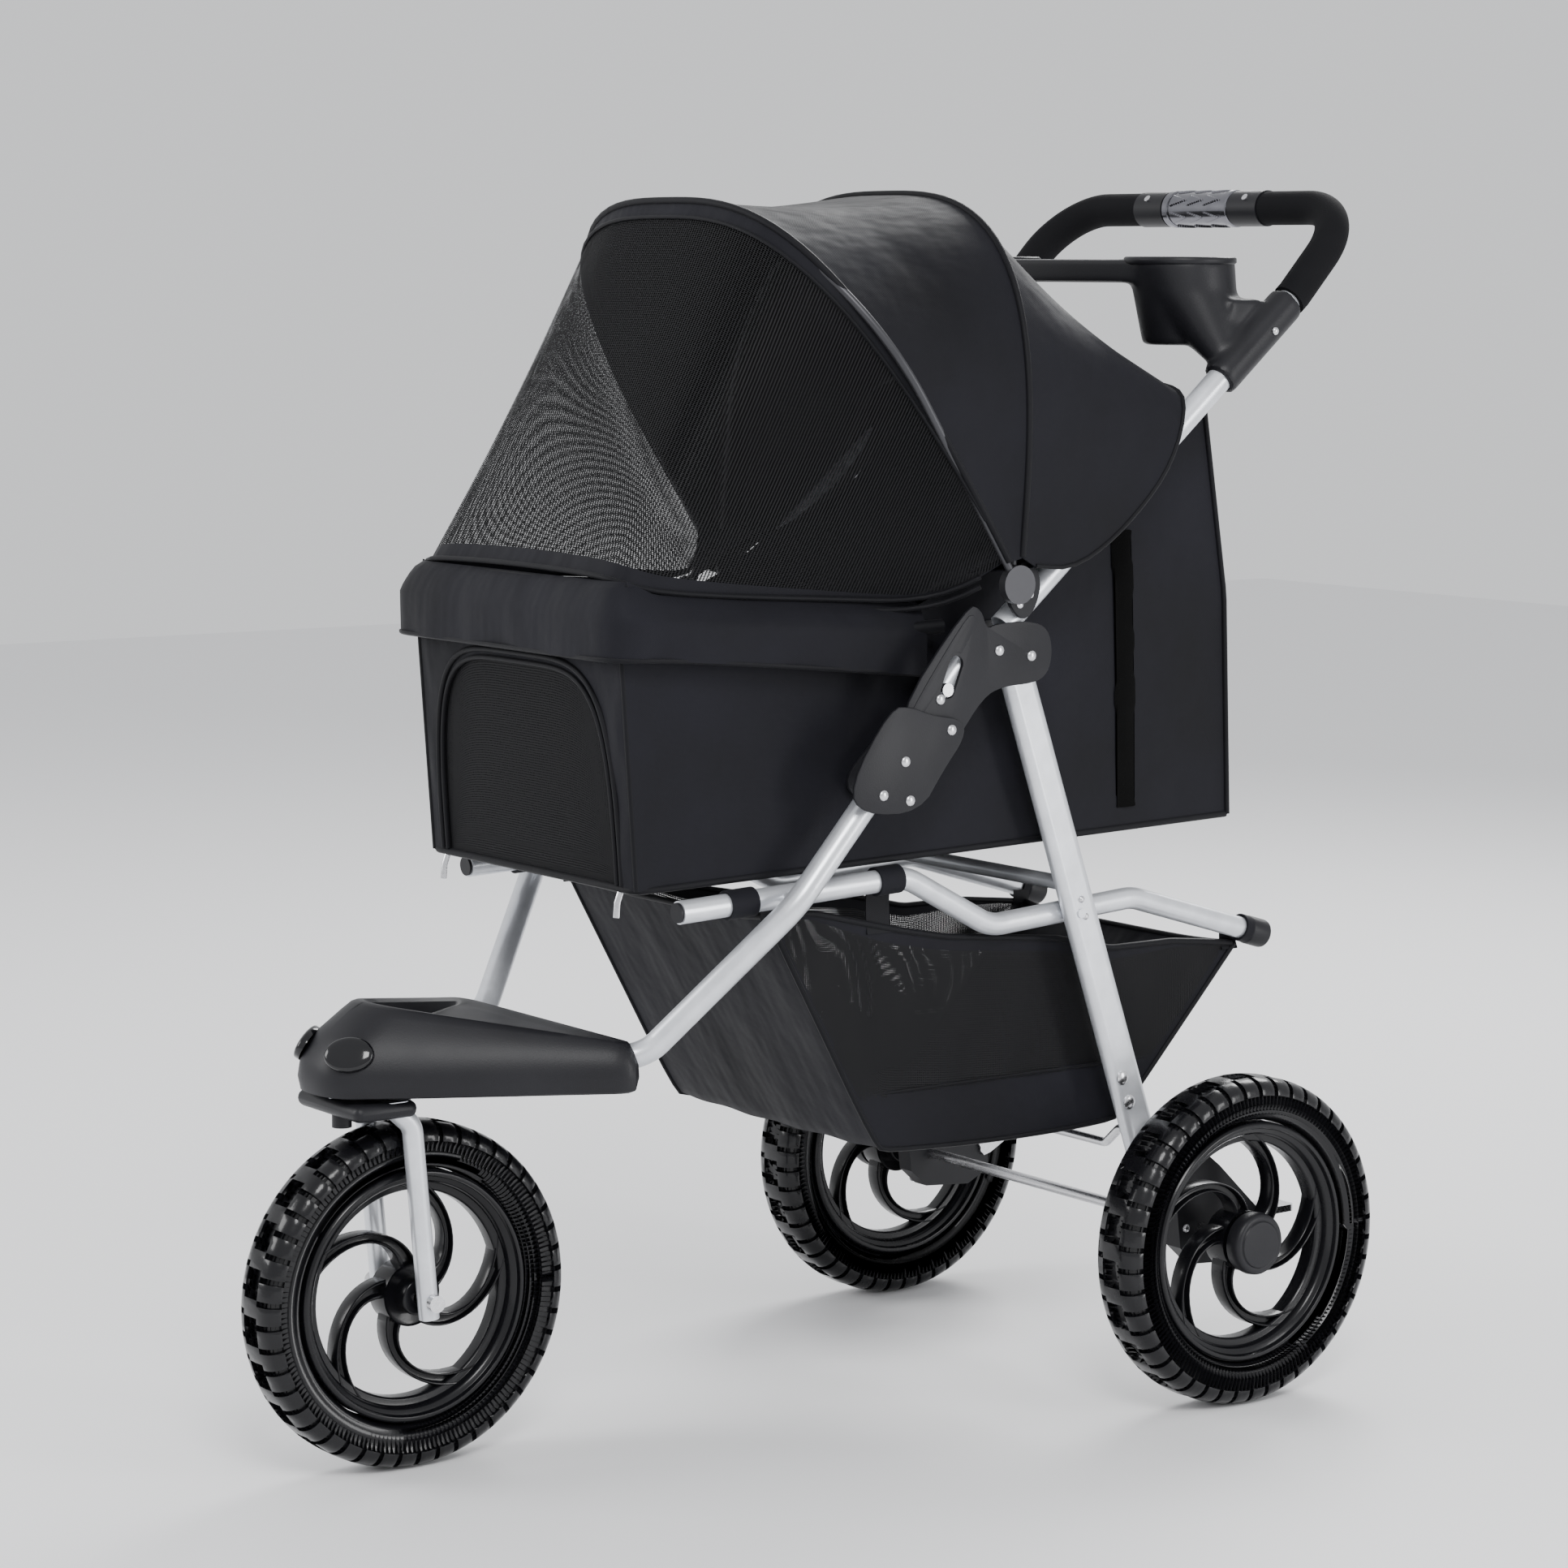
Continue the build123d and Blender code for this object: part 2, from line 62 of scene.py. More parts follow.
def edit(obj, mode="FACE"):
    only(obj)
    bpy.ops.object.mode_set(mode="EDIT")
    bpy.ops.mesh.select_mode(type=mode)
    bpy.ops.mesh.select_all(action="SELECT")


def done():
    bpy.ops.object.mode_set(mode="OBJECT")


def modify(obj, kind, **settings):
    only(obj)
    mod = obj.modifiers.new(kind.lower(), kind)
    for key, value in settings.items():
        setattr(mod, key, value)
    bpy.ops.object.modifier_apply(modifier=mod.name)


def tidy(obj, cap=False):
    edit(obj, "VERT")
    bpy.ops.mesh.remove_doubles(threshold=0.00005)
    if cap:
        bpy.ops.mesh.select_all(action="DESELECT")
        bpy.ops.mesh.select_non_manifold()
        bpy.ops.mesh.edge_face_add()
    bpy.ops.mesh.select_all(action="SELECT")
    bpy.ops.mesh.normals_make_consistent(inside=False)
    done()


def form(name, nu, nv, place, merge=True):
    """A grid primitive whose points are moved to place(u, v), in millimetres."""
    bpy.ops.object.select_all(action="DESELECT")
    bpy.ops.mesh.primitive_grid_add(x_subdivisions=nu, y_subdivisions=nv, size=2)
    obj = bpy.context.object
    obj.name = name
    for v in obj.data.vertices:
        v.co = Vector(place((v.co.x + 1) / 2, (v.co.y + 1) / 2)) * MM
    if merge:
        tidy(obj)
    return obj


def spread(points, n):
    """n + 1 points at equal steps along a polyline."""
    points = [Vector(p) for p in points]
    run = [0.0]
    for a, b in zip(points, points[1:]):
        run.append(run[-1] + (b - a).length)
    out, k = [], 0
    for i in range(n + 1):
        want = run[-1] * i / n
        while k < len(points) - 2 and run[k + 1] < want:
            k += 1
        gap = run[k + 1] - run[k] or 1
        out.append(points[k].lerp(points[k + 1], min(max((want - run[k]) / gap, 0), 1)))
    return out


def soft(points, closed=False, times=3):
    """Corner cutting: a polyline with rounded corners."""
    points = [Vector(p) for p in points]
    for _ in range(times):
        out = [] if closed else [points[0]]
        pairs = list(zip(points, points[1:] + points[:1])) if closed else list(zip(points, points[1:]))
        for a, b in pairs:
            out += [a.lerp(b, 0.25), a.lerp(b, 0.75)]
        points = out if closed else out + [points[-1]]
    return points


def sweep(name, path, radius, sides=10, flat=1.0, closed=False):
    """A bar of round or flattened section along a path."""
    path = [Vector(p) for p in path]
    n = len(path)
    frames, side = [], None
    for i in range(n):
        before, after = path[i - 1 if i or closed else 0], path[(i + 1) % n if closed else min(i + 1, n - 1)]
        ahead = (after - before).normalized()
        if side is None:
            side = ahead.orthogonal().normalized()
        side = (side - ahead * side.dot(ahead)).normalized()
        frames.append((path[i], side, ahead.cross(side)))
    last = n if closed else n - 1

    def place(u, v):
        centre, a, b = frames[round(v * last) % n]
        turn = 2 * pi * u
        return centre + a * (radius * cos(turn)) + b * (radius * flat * sin(turn))
    obj = form(name, sides, last, place, merge=False)
    tidy(obj, cap=not closed)
    return obj


def join(name, objs):
    only(objs[0])
    for o in objs:
        o.select_set(True)
    bpy.context.view_layer.objects.active = objs[0]
    if len(objs) > 1:
        bpy.ops.object.join()
    objs[0].name = name
    return objs[0]


def ship(obj, body, mats, replaces=(), smooth=35):
    """Materials, shading and the body that it rides on."""
    only(obj)
    if not isinstance(mats, (list, tuple)):
        mats = [mats]
    if not obj.data.materials:
        for m in mats:
            obj.data.materials.append(m)
    if smooth:
        bpy.ops.object.shade_smooth_by_angle(angle=radians(smooth))
    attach(obj, body)
    if replaces:
        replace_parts(obj, *replaces)
    return obj


def cloth_shell(obj, thickness=1.3):
    modify(obj, "SOLIDIFY", thickness=thickness * MM, offset=0)
    return obj


# ---------------------------------------------------------------- materials
def material(name, base, rough, metal=0.0, coat=0.0, sheen=0.0, shine=0.5):
    mat = bpy.data.materials.new(name)
    mat.use_nodes = True
    tree = mat.node_tree
    shader = tree.nodes["Principled BSDF"]
    shader.inputs["Base Color"].default_value = (*base, 1)
    shader.inputs["Roughness"].default_value = rough
    shader.inputs["Metallic"].default_value = metal
    shader.inputs["Specular IOR Level"].default_value = shine
    shader.inputs["Coat Weight"].default_value = coat
    shader.inputs["Coat Roughness"].default_value = 0.08
    shader.inputs["Sheen Weight"].default_value = sheen
    shader.inputs["Sheen Roughness"].default_value = 0.5
    return mat, tree, shader


def place_node(tree, stretch=(1, 1, 1), uv=False):
    coords = tree.nodes.new("ShaderNodeTexCoord")
    mapping = tree.nodes.new("ShaderNodeMapping")
    mapping.inputs["Scale"].default_value = stretch
    tree.links.new(coords.outputs["UV" if uv else "Object"], mapping.inputs["Vector"])
    return mapping.outputs["Vector"]


def noise(tree, vector, scale, detail=3.0, rough=0.55):
    node = tree.nodes.new("ShaderNodeTexNoise")
    node.inputs["Scale"].default_value = scale
    node.inputs["Detail"].default_value = detail
    node.inputs["Roughness"].default_value = rough
    tree.links.new(vector, node.inputs["Vector"])
    return node.outputs["Fac"]


def ramp(tree, value, stops):
    node = tree.nodes.new("ShaderNodeValToRGB")
    for i, (at, colour) in enumerate(stops):
        e = node.color_ramp.elements[i] if i < 2 else node.color_ramp.elements.new(at)
        e.position, e.color = at, (*colour, 1)
    tree.links.new(value, node.inputs["Fac"])
    return node.outputs["Color"]


def spread_range(tree, value, low, high):
    node = tree.nodes.new("ShaderNodeMapRange")
    node.inputs["To Min"].default_value, node.inputs["To Max"].default_value = low, high
    tree.links.new(value, node.inputs["Value"])
    return node.outputs["Result"]


def bump(tree, shader, height, strength, distance, under=None):
    node = tree.nodes.new("ShaderNodeBump")
    node.inputs["Strength"].default_value = strength
    node.inputs["Distance"].default_value = distance
    tree.links.new(height, node.inputs["Height"])
    if under is not None:
        tree.links.new(under, node.inputs["Normal"])
    tree.links.new(node.outputs["Normal"], shader.inputs["Normal"])
    return node.outputs["Normal"]


def wave(tree, vector, direction, scale, profile="SIN"):
    node = tree.nodes.new("ShaderNodeTexWave")
    node.bands_direction = direction
    node.wave_profile = profile
    node.inputs["Scale"].default_value = scale
    node.inputs["Distortion"].default_value = 0.0
    tree.links.new(vector, node.inputs["Vector"])
    return node.outputs["Fac"]


def math_node(tree, kind, a, b):
    node = tree.nodes.new("ShaderNodeMath")
    node.operation = kind
    for socket, value in zip(node.inputs, (a, b)):
        if isinstance(value, (int, float)):
            socket.default_value = value
        else:
            tree.links.new(value, socket)
    return node.outputs["Value"]


def woven(name, dark, light, rough, wrinkle=0.5):
    """Tight oxford cloth: slow tone change, long soft wrinkles and a fine weave."""
    mat, tree, shader = material(name, light, rough, sheen=0.03, shine=0.12)
    space = place_node(tree)
    patch = noise(tree, space, 5.0, 4.0)
    tree.links.new(ramp(tree, patch, [(0.3, dark), (0.72, light)]), shader.inputs["Base Color"])
    tree.links.new(spread_range(tree, patch, rough - 0.1, rough + 0.1), shader.inputs["Roughness"])
    creases = noise(tree, place_node(tree, (9, 5, 3)), 1.6, 3.0, 0.5)
    under = bump(tree, shader, creases, wrinkle, 0.012)
    small = noise(tree, place_node(tree, (22, 16, 30)), 1.5, 2.0, 0.5)
    under = bump(tree, shader, small, wrinkle * 0.5, 0.003, under)
    warp = wave(tree, space, "DIAGONAL", 420.0)
    weft = wave(tree, space, "Z", 620.0)
    bump(tree, shader, math_node(tree, "MULTIPLY", warp, weft), 0.25, 0.0004, under)
    return mat


def netting(name, colour, open_share, count):
    """Open mesh: threads round clear holes, counted over the piece's own UV map."""
    mat, tree, shader = material(name, colour, 0.6, shine=0.15)
    space = place_node(tree, (count[0], count[1], 1), uv=True)
    cells = tree.nodes.new("ShaderNodeTexVoronoi")
    cells.inputs["Scale"].default_value = 1.0
    cells.inputs["Randomness"].default_value = 0.12
    tree.links.new(space, cells.inputs["Vector"])
    hole = math_node(tree, "LESS_THAN", cells.outputs["Distance"], open_share)
    clear = tree.nodes.new("ShaderNodeBsdfTransparent")
    mix = tree.nodes.new("ShaderNodeMixShader")
    out = tree.nodes["Material Output"]
    tree.links.new(hole, mix.inputs["Fac"])
    tree.links.new(shader.outputs["BSDF"], mix.inputs[1])
    tree.links.new(clear.outputs["BSDF"], mix.inputs[2])
    tree.links.new(mix.outputs["Shader"], out.inputs["Surface"])
    return mat


def moulded(name, base, rough, grain, coat=0.0, depth=0.0003, shine=0.25):
    """Moulded plastic or rubber: fine grain, faint tone change and handling marks."""
    mat, tree, shader = material(name, base, rough, coat=coat, shine=shine)
    space = place_node(tree)
    marks = noise(tree, space, 14.0, 5.0, 0.6)
    lighter = tuple(c * 1.4 + 0.001 for c in base)
    tree.links.new(ramp(tree, marks, [(0.35, base), (0.8, lighter)]), shader.inputs["Base Color"])
    tree.links.new(spread_range(tree, marks, rough - 0.07, rough + 0.1), shader.inputs["Roughness"])
    bump(tree, shader, noise(tree, space, grain, 2.0), 0.3, depth)
    return mat


def metal(name, base, rough, metallic, brush=(1, 1, 1)):
    mat, tree, shader = material(name, base, rough, metal=metallic)
    fine = noise(tree, place_node(tree, brush), 60.0, 4.0)
    darker = tuple(c * 0.88 for c in base)
    tree.links.new(ramp(tree, fine, [(0.3, darker), (0.7, base)]), shader.inputs["Base Color"])
    tree.links.new(spread_range(tree, fine, rough - 0.05, rough + 0.08), shader.inputs["Roughness"])
    bump(tree, shader, fine, 0.08, 0.0003)
    return mat


CLOTH = woven("black_oxford", (0.0035, 0.0035, 0.005), (0.009, 0.009, 0.013), 0.6, 0.8)
BINDING = woven("binding_tape", (0.003, 0.003, 0.004), (0.007, 0.007, 0.009), 0.5, 0.15)
PAD = woven("pad_cover", (0.02, 0.02, 0.024), (0.04, 0.04, 0.046), 0.85, 0.2)
WINDOW = netting("window_net", (0.008, 0.008, 0.009), 0.41, (330, 210))
DOOR_NET = netting("door_net", (0.006, 0.006, 0.007), 0.33, (120, 80))
BASKET_NET = netting("basket_net", (0.008, 0.008, 0.009), 0.3, (260, 90))
NYLON = moulded("black_nylon", (0.009, 0.009, 0.011), 0.42, 900.0)
GLOSS = moulded("gloss_rim", (0.003, 0.003, 0.004), 0.25, 300.0, coat=0.12, depth=0.0001)
TYRE = moulded("tyre_eva", (0.004, 0.004, 0.005), 0.25, 500.0, coat=0.18)
FOAM = moulded("grip_foam", (0.005, 0.005, 0.006), 0.85, 700.0, depth=0.0008, shine=0.12)
LENS = moulded("smoked_lens", (0.003, 0.003, 0.004), 0.12, 120.0, coat=0.4, depth=0.00005)
HOOK = moulded("hook_tape", (0.003, 0.003, 0.003), 0.95, 1200.0, depth=0.0015, shine=0.05)
SILVER = metal("silver_paint", (0.74, 0.76, 0.8), 0.3, 0.55)
STEEL = metal("zinc_steel", (0.7, 0.7, 0.72), 0.25, 1.0, (1, 6, 6))
SMOKE = metal("dark_chrome", (0.2, 0.2, 0.22), 0.2, 1.0)
WIRE = metal("bow_wire", (0.05, 0.05, 0.055), 0.4, 0.6)

CAD_LOOKS = {
    "silver_tube": SILVER, "black_plastic": NYLON, "dark_lens": LENS, "steel": STEEL, "tyre": TYRE,
    "gloss_black": GLOSS, "bow_wire": WIRE, "black_fabric": CLOTH, "grip_foam": FOAM, "dark_chrome": SMOKE,
    "pad_fabric": PAD, "base_board": NYLON, "black_mesh": DOOR_NET,
}
for part in frame["record"]["subparts"]:
    mesh = frame["nodes"][part["node"]].data
    mesh.materials.clear()
    sleeved = part["node"] == "cabin_rim_hoop"
    mesh.materials.append(BINDING if sleeved else CAD_LOOKS[part["material_slot"]])


# ---------------------------------------------------------------- wheels
R, TYRE_HALF, RIM = 142.5, 23.0, 104.0


def build_tyre(x, y, name, body):
    """A torus squared off into a tyre, with raised lugs on both shoulders and the tread."""
    lugs, per, ring = 46, 4, 26
    middle, low = (R + RIM) / 2, RIM + 0.5

    def place(u, v):
        t = 2 * pi * v
        c, s = cos(t), sin(t)
        across = TYRE_HALF * (abs(s) ** 0.62) * (1 if s >= 0 else -1)
        out = (abs(c) ** 0.62) * (1 if c >= 0 else -1)
        radius = middle + (R - 3.2 - middle if out > 0 else middle - low) * out
        a = 2 * pi * u
        return (x + across, y + radius * cos(a), R + radius * sin(a))
    obj = form(name, lugs * per, ring, place)
    for p in obj.data.polygons:
        c = p.center / MM
        r = hypot(c.y - y, c.z - R)
        k = int((atan2(c.z - R, c.y - y) / (2 * pi) % 1) * lugs * per)
        side = 1 if c.x > x else 0
        on_lug = (k + 2 * side) % per in (0, 1, 2) if abs(c.x - x) > 5 else (k % (2 * per)) in (1, 2, 3)
        p.select = r > R - 14 and on_lug
    only(obj)
    bpy.context.scene.tool_settings.mesh_select_mode = (False, False, True)
    bpy.ops.object.mode_set(mode="EDIT")
    bpy.ops.mesh.extrude_region_shrink_fatten(TRANSFORM_OT_shrink_fatten={"value": 3.0 * MM})
    done()
    modify(obj, "BEVEL", width=0.0007, segments=1, limit_method="ANGLE", angle_limit=radians(40))
    return ship(obj, body, TYRE, smooth=40)


def ring_profile(name, x, y, outline, steps=96):
    """A closed outline of (across, radius) turned about the axle."""
    n = len(outline)

    def place(u, v):
        a, r = outline[round(v * n) % n]
        t = 2 * pi * u
        return (x + a, y + r * cos(t), R + r * sin(t))
    return form(name, steps, n, place)


def spoke(x, y, turn, mirror):
    """One swirl spoke: an open channel between two ribs, wider where it meets the rim."""
    section = [(-1, -7), (-1, 7), (-0.82, 8.6), (-0.6, 8.2), (-0.5, 2.5), (0.5, 2.5), (0.6, 8.2), (0.82, 8.6),
               (1, 7), (1, -7), (0.82, -8.6), (0.6, -8.2), (0.5, -2.5), (-0.5, -2.5), (-0.6, -8.2),
               (-0.82, -8.6)]

    def place(u, v):
        s, depth = section[round(u * len(section)) % len(section)]
        r = 17 + 76 * v
        bend = 1.32 * v ** 1.25
        half = 6.2 + 5.5 * (2 * v - 1) ** 2 * (1.5 if v > 0.5 else 0.6)
        a = turn + bend + s * half / r
        return (x + depth, y + mirror * r * cos(a), R + r * sin(a))
    return form("spoke", len(section), 18, place)


def build_rim(x, y, name, body, node, hub, mirror=1):
    band = [(-18, 104), (-20, 102), (-20, 99), (-16, 98), (-15, 95), (-13, 93), (-8, 92), (-8, 87),
            (-6, 85.5),
            (6, 85.5), (8, 87), (8, 92), (13, 93), (15, 95), (16, 98), (20, 99), (20, 102), (18, 104)]
    parts = [ring_profile(name, x, y, band)]
    low, high, wide = hub
    hub_shape = [(-9, 7), (-9, 22), (-10, 25), (-12, 26), (12, 26), (10, 25), (9, 22), (9, 7)]
    parts.append(ring_profile("hub", x, y, hub_shape, 48))
    bore = [(low, 5.5), (low, wide - 1), (low + 1, wide), (high - 1, wide), (high, wide - 1), (high, 5.5)]
    parts.append(ring_profile("bore", x, y, bore, 40))
    for i in range(5):
        parts.append(spoke(x, y, 2 * pi * i / 5 + 0.25, mirror))
    obj = join(name, parts)
    modify(obj, "BEVEL", width=0.0006, segments=2, limit_method="ANGLE", angle_limit=radians(35))
    return ship(obj, body, GLOSS, (node,), 40)


def hub_cover(x, side):
    outline = [(-15.8, 8), (-15.8, 26), (-9, 27), (-3.5, 26.2), (-1.6, 24.5), (-1.0, 22), (-1.4, 20.5),
               (-0.2, 19.5),
               (0, 18), (0, 0.01), (-15.8, 0.01)]
    return ring_profile("hub_cover", x, 324, [(side * a, r) for a, r in outline], 64)


def build_wheels():
    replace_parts(build_tyre(0, -361, "tyre_front", "front_wheel"), "front_tyre")
    build_rim(0, -361, "rim_front", "front_wheel", "front_rim", (-24, 24, 15))
    for side, word in (LEFT, RIGHT):
        x, body = side * 244, f"rear_wheel_{word}"
        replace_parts(build_tyre(x, 324, f"tyre_rear_{word}", body), f"rear_tyre_{word}")
        hub = (-21, 15, 16) if side > 0 else (-15, 21, 16)
        build_rim(x, 324, f"rim_rear_{word}", body, f"rear_rim_{word}", hub)
        cover = hub_cover(side * 276, side)
        cover.name = f"hub_cover_{word}"
        ship(cover, body, NYLON, (f"hub_cap_{word}",), 35)


# ---------------------------------------------------------------- hardware
def rivets(name, body, places, radius=4.6, look=None):
    """Domed rivet heads: (x, y, z) with the dome facing away from the middle."""
    heads = []
    for x, y, z in places:
        way = 1 if x > 0 else -1
        outline = [(0, 1.0), (0.9, 1.0), (1.7, 0.82), (2.4, 0.45), (2.6, 0.0)]

        def place(u, v, x=x, y=y, z=z, way=way):
            rise, share = outline[round(v * 4)]
            t = 2 * pi * u
            return (x + way * rise, y + radius * share * cos(t), z + radius * share * sin(t))
        head = form("head", 20, 4, place)
        tidy(head, cap=True)
        heads.append(head)
    return ship(join(name, heads), body, look or STEEL, smooth=50)


def plate_shape(name, outline, x0, x1, hole=None, round_times=2, bevel=0.8):
    """A flat plate from a side-view outline, edges rounded; a hole is cut through if given."""
    way = 1 if x1 > x0 else -1
    points = soft([(0, y, z) for y, z in outline], closed=True, times=round_times)
    bpy.ops.object.select_all(action="DESELECT")
    bpy.ops.mesh.primitive_circle_add(vertices=len(points), fill_type="NGON")
    obj = bpy.context.object
    obj.name = name
    for v, p in zip(obj.data.vertices, points):
        v.co = Vector((x0, p.y, p.z)) * MM
    edit(obj)
    bpy.ops.mesh.extrude_region_move(TRANSFORM_OT_translate={"value": ((x1 - x0) * MM, 0, 0)})
    bpy.ops.mesh.select_all(action="SELECT")
    bpy.ops.mesh.normals_make_consistent(inside=False)
    done()
    modify(obj, "BEVEL", width=bevel * MM, segments=2, limit_method="ANGLE", angle_limit=radians(50))
    if hole:
        cut(obj, [sweep("cutter", [(x0 - way * 20, *hole[0]), (x1 + way * 20, *hole[0])], hole[1], 32)])
    return obj


def cut(obj, tools):
    for tool in tools:
        only(obj)
        mod = obj.modifiers.new("cut", "BOOLEAN")
        mod.operation, mod.object, mod.solver = "DIFFERENCE", tool, "EXACT"
        bpy.ops.object.modifier_apply(modifier=mod.name)
        bpy.data.objects.remove(tool)


def slot_tool(x0, x1, y, z, length, width, angle):
    reach, r = length / 2 - width / 2, width / 2
    points = []
    for i in range(32):
        t = 2 * pi * i / 32
        shift = reach if cos(t) > 0 else -reach
        a, b = shift + r * cos(t), r * sin(t)
        ca, sa = cos(radians(angle)), sin(radians(angle))
        points.append((y + a * ca - b * sa, z + a * sa + b * ca))
    tool = plate_shape("slot_tool", points, x0, x1, round_times=0, bevel=0.01)
    return tool


def build_side_plates():
    upper = [(51, 698), (65, 694), (71, 677), (80, 681), (118, 682), (136, 675), (141, 655), (136, 637),
             (122, 630),
             (88, 629), (68, 621), (42, 589), (28, 572), (8, 579), (-25, 606)]
    cover = [(-30, 619), (-8, 618), (12, 610), (45, 605), (46, 589), (25, 565), (1, 531), (-57, 533),
             (-72, 556)]
    inner = [(60, 640), (84, 677), (118, 682), (138, 670), (141, 652), (136, 632), (110, 626), (60, 598),
             (44, 580),
             (26, 580), (14, 596)]
    inner_cover = [(16, 607), (40, 610), (47, 598), (44, 586), (4, 536), (-24, 536), (-40, 556), (-6, 588)]
    ridge = [(48, 688), (58, 690), (62, 680), (-10, 592), (-18, 600)]
    for side, word in (LEFT, RIGHT):
        face = plate_shape(f"plate_{word}", upper, side * 204.5, side * 207.5)
        cut(face, [slot_tool(side * 190, side * 230, 35, 639.5, 37, 14.5, 68)])
        raised = plate_shape("raised", ridge, side * 206.5, side * 208.1, bevel=0.6)
        cut(raised, [slot_tool(side * 190, side * 230, 35, 639.5, 43, 20, 68)])
        back = plate_shape("back", inner, side * 161.5, side * 164.5)
        stubs = [sweep("stub", [(side * 164, y, z), (side * 205, y, z)], 4.8, 20) for y,
                 z in ((84, 659), (32, 597))]
        stubs.append(sweep("stub", [(side * 181.5, 124, 652), (side * 205, 124, 652)], 4, 20))
        whole = join(f"plate_{word}", [face, raised, back] + stubs)
        ship(whole, "handle_frame", NYLON, (f"upper_plate_{word}",), 30)
        outer = plate_shape("cover", cover, side * 208.3, side * 211.3, bevel=1.2)
        back = plate_shape("cover_back", inner_cover, side * 157.8, side * 160.8)
        stubs = [sweep("stub", [(side * 202, -37, 548), (side * 209, -37, 548)], 4.6, 20),
                 sweep("stub", [(side * 158, 32, 597), (side * 212, 32, 597)], 2.9, 20)]
        ship(join(f"lower_cover_{word}_shape", [outer, back] + stubs), "front_frame", NYLON,
             (f"lower_cover_{word}",), 30)
        x = side * 207.4
        rivets(f"plate_rivets_{word}", "handle_frame", [(x, 84, 659), (x, 118, 653), (x, 23, 622)])
        x = side * 211.2
        rivets(f"cover_rivets_{word}", "front_frame",
               [(x, 32, 597), (x, -15, 574), (x, -37, 548), (x, -10, 542)])


def build_small_hardware():
    crown = block("crown_cover", (0, -404, 303.5), (99, 58, 14))
    modify(crown, "BEVEL", width=0.007, segments=4, limit_method="ANGLE", angle_limit=radians(50))
    ship(crown, "front_fork", NYLON)
    for side, word in (LEFT, RIGHT):
        x = side * 180.4
        rivets(f"leg_rivets_{word}", "rear_frame",
               [(x, 247, 281), (x, 255, 259)], 6.2)
        rivets(f"leg_studs_{word}", "rear_frame", [(x, 198, 440), (x, 203, 425)], 3.0)
        rivets(f"bracket_rivets_{word}", "rear_frame",
               [(side * 199, 306, 145), (side * 199, 368, 121), (side * 199, 386, 132),
                (side * 199, 316, 117)], 3.8)
        end = sweep(f"front_plug_{word}", [(side * 159, -203.5, 459.9), (side * 159, -200, 460.1)], 8.2, 24)
        ship(end, "tub_frame", NYLON)
        cap_path = [(side * 154.5, 408, 392.8), (side * 154.5, 427, 387.1), (side * 154.5, 430, 386.2)]
        cap = sweep(f"rear_cap_{word}", cap_path, 12.6, 28)
        modify(cap, "BEVEL", width=0.003, segments=3, limit_method="ANGLE", angle_limit=radians(50))
        ship(cap, "tub_frame", NYLON)
        rivets(f"tray_screw_{word}", "handle_frame", [(side * 209, 381, 918)], 3.4)
        screw = sweep(f"collar_screw_{word}", [(side * 65.8, 474.2, 1033.2),
                                               (side * 65.8, 472.9, 1034.2)], 3.2, 16)
        ship(screw, "handle_frame", STEEL)
        clip = plate_shape(f"clip_{word}", [(96, 724), (112, 735), (128, 716), (119, 688), (104, 682),
                                            (89, 702)],
                           side * 204.8, side * 209.8, bevel=1.2)
        ship(clip, "handle_frame", NYLON, ("canopy_clips",), 30)
        x = side * 209.7
        rivets(f"clip_rivets_{word}", "handle_frame", [(x, 111, 718), (x, 114, 704), (x, 103, 696)], 3.4)


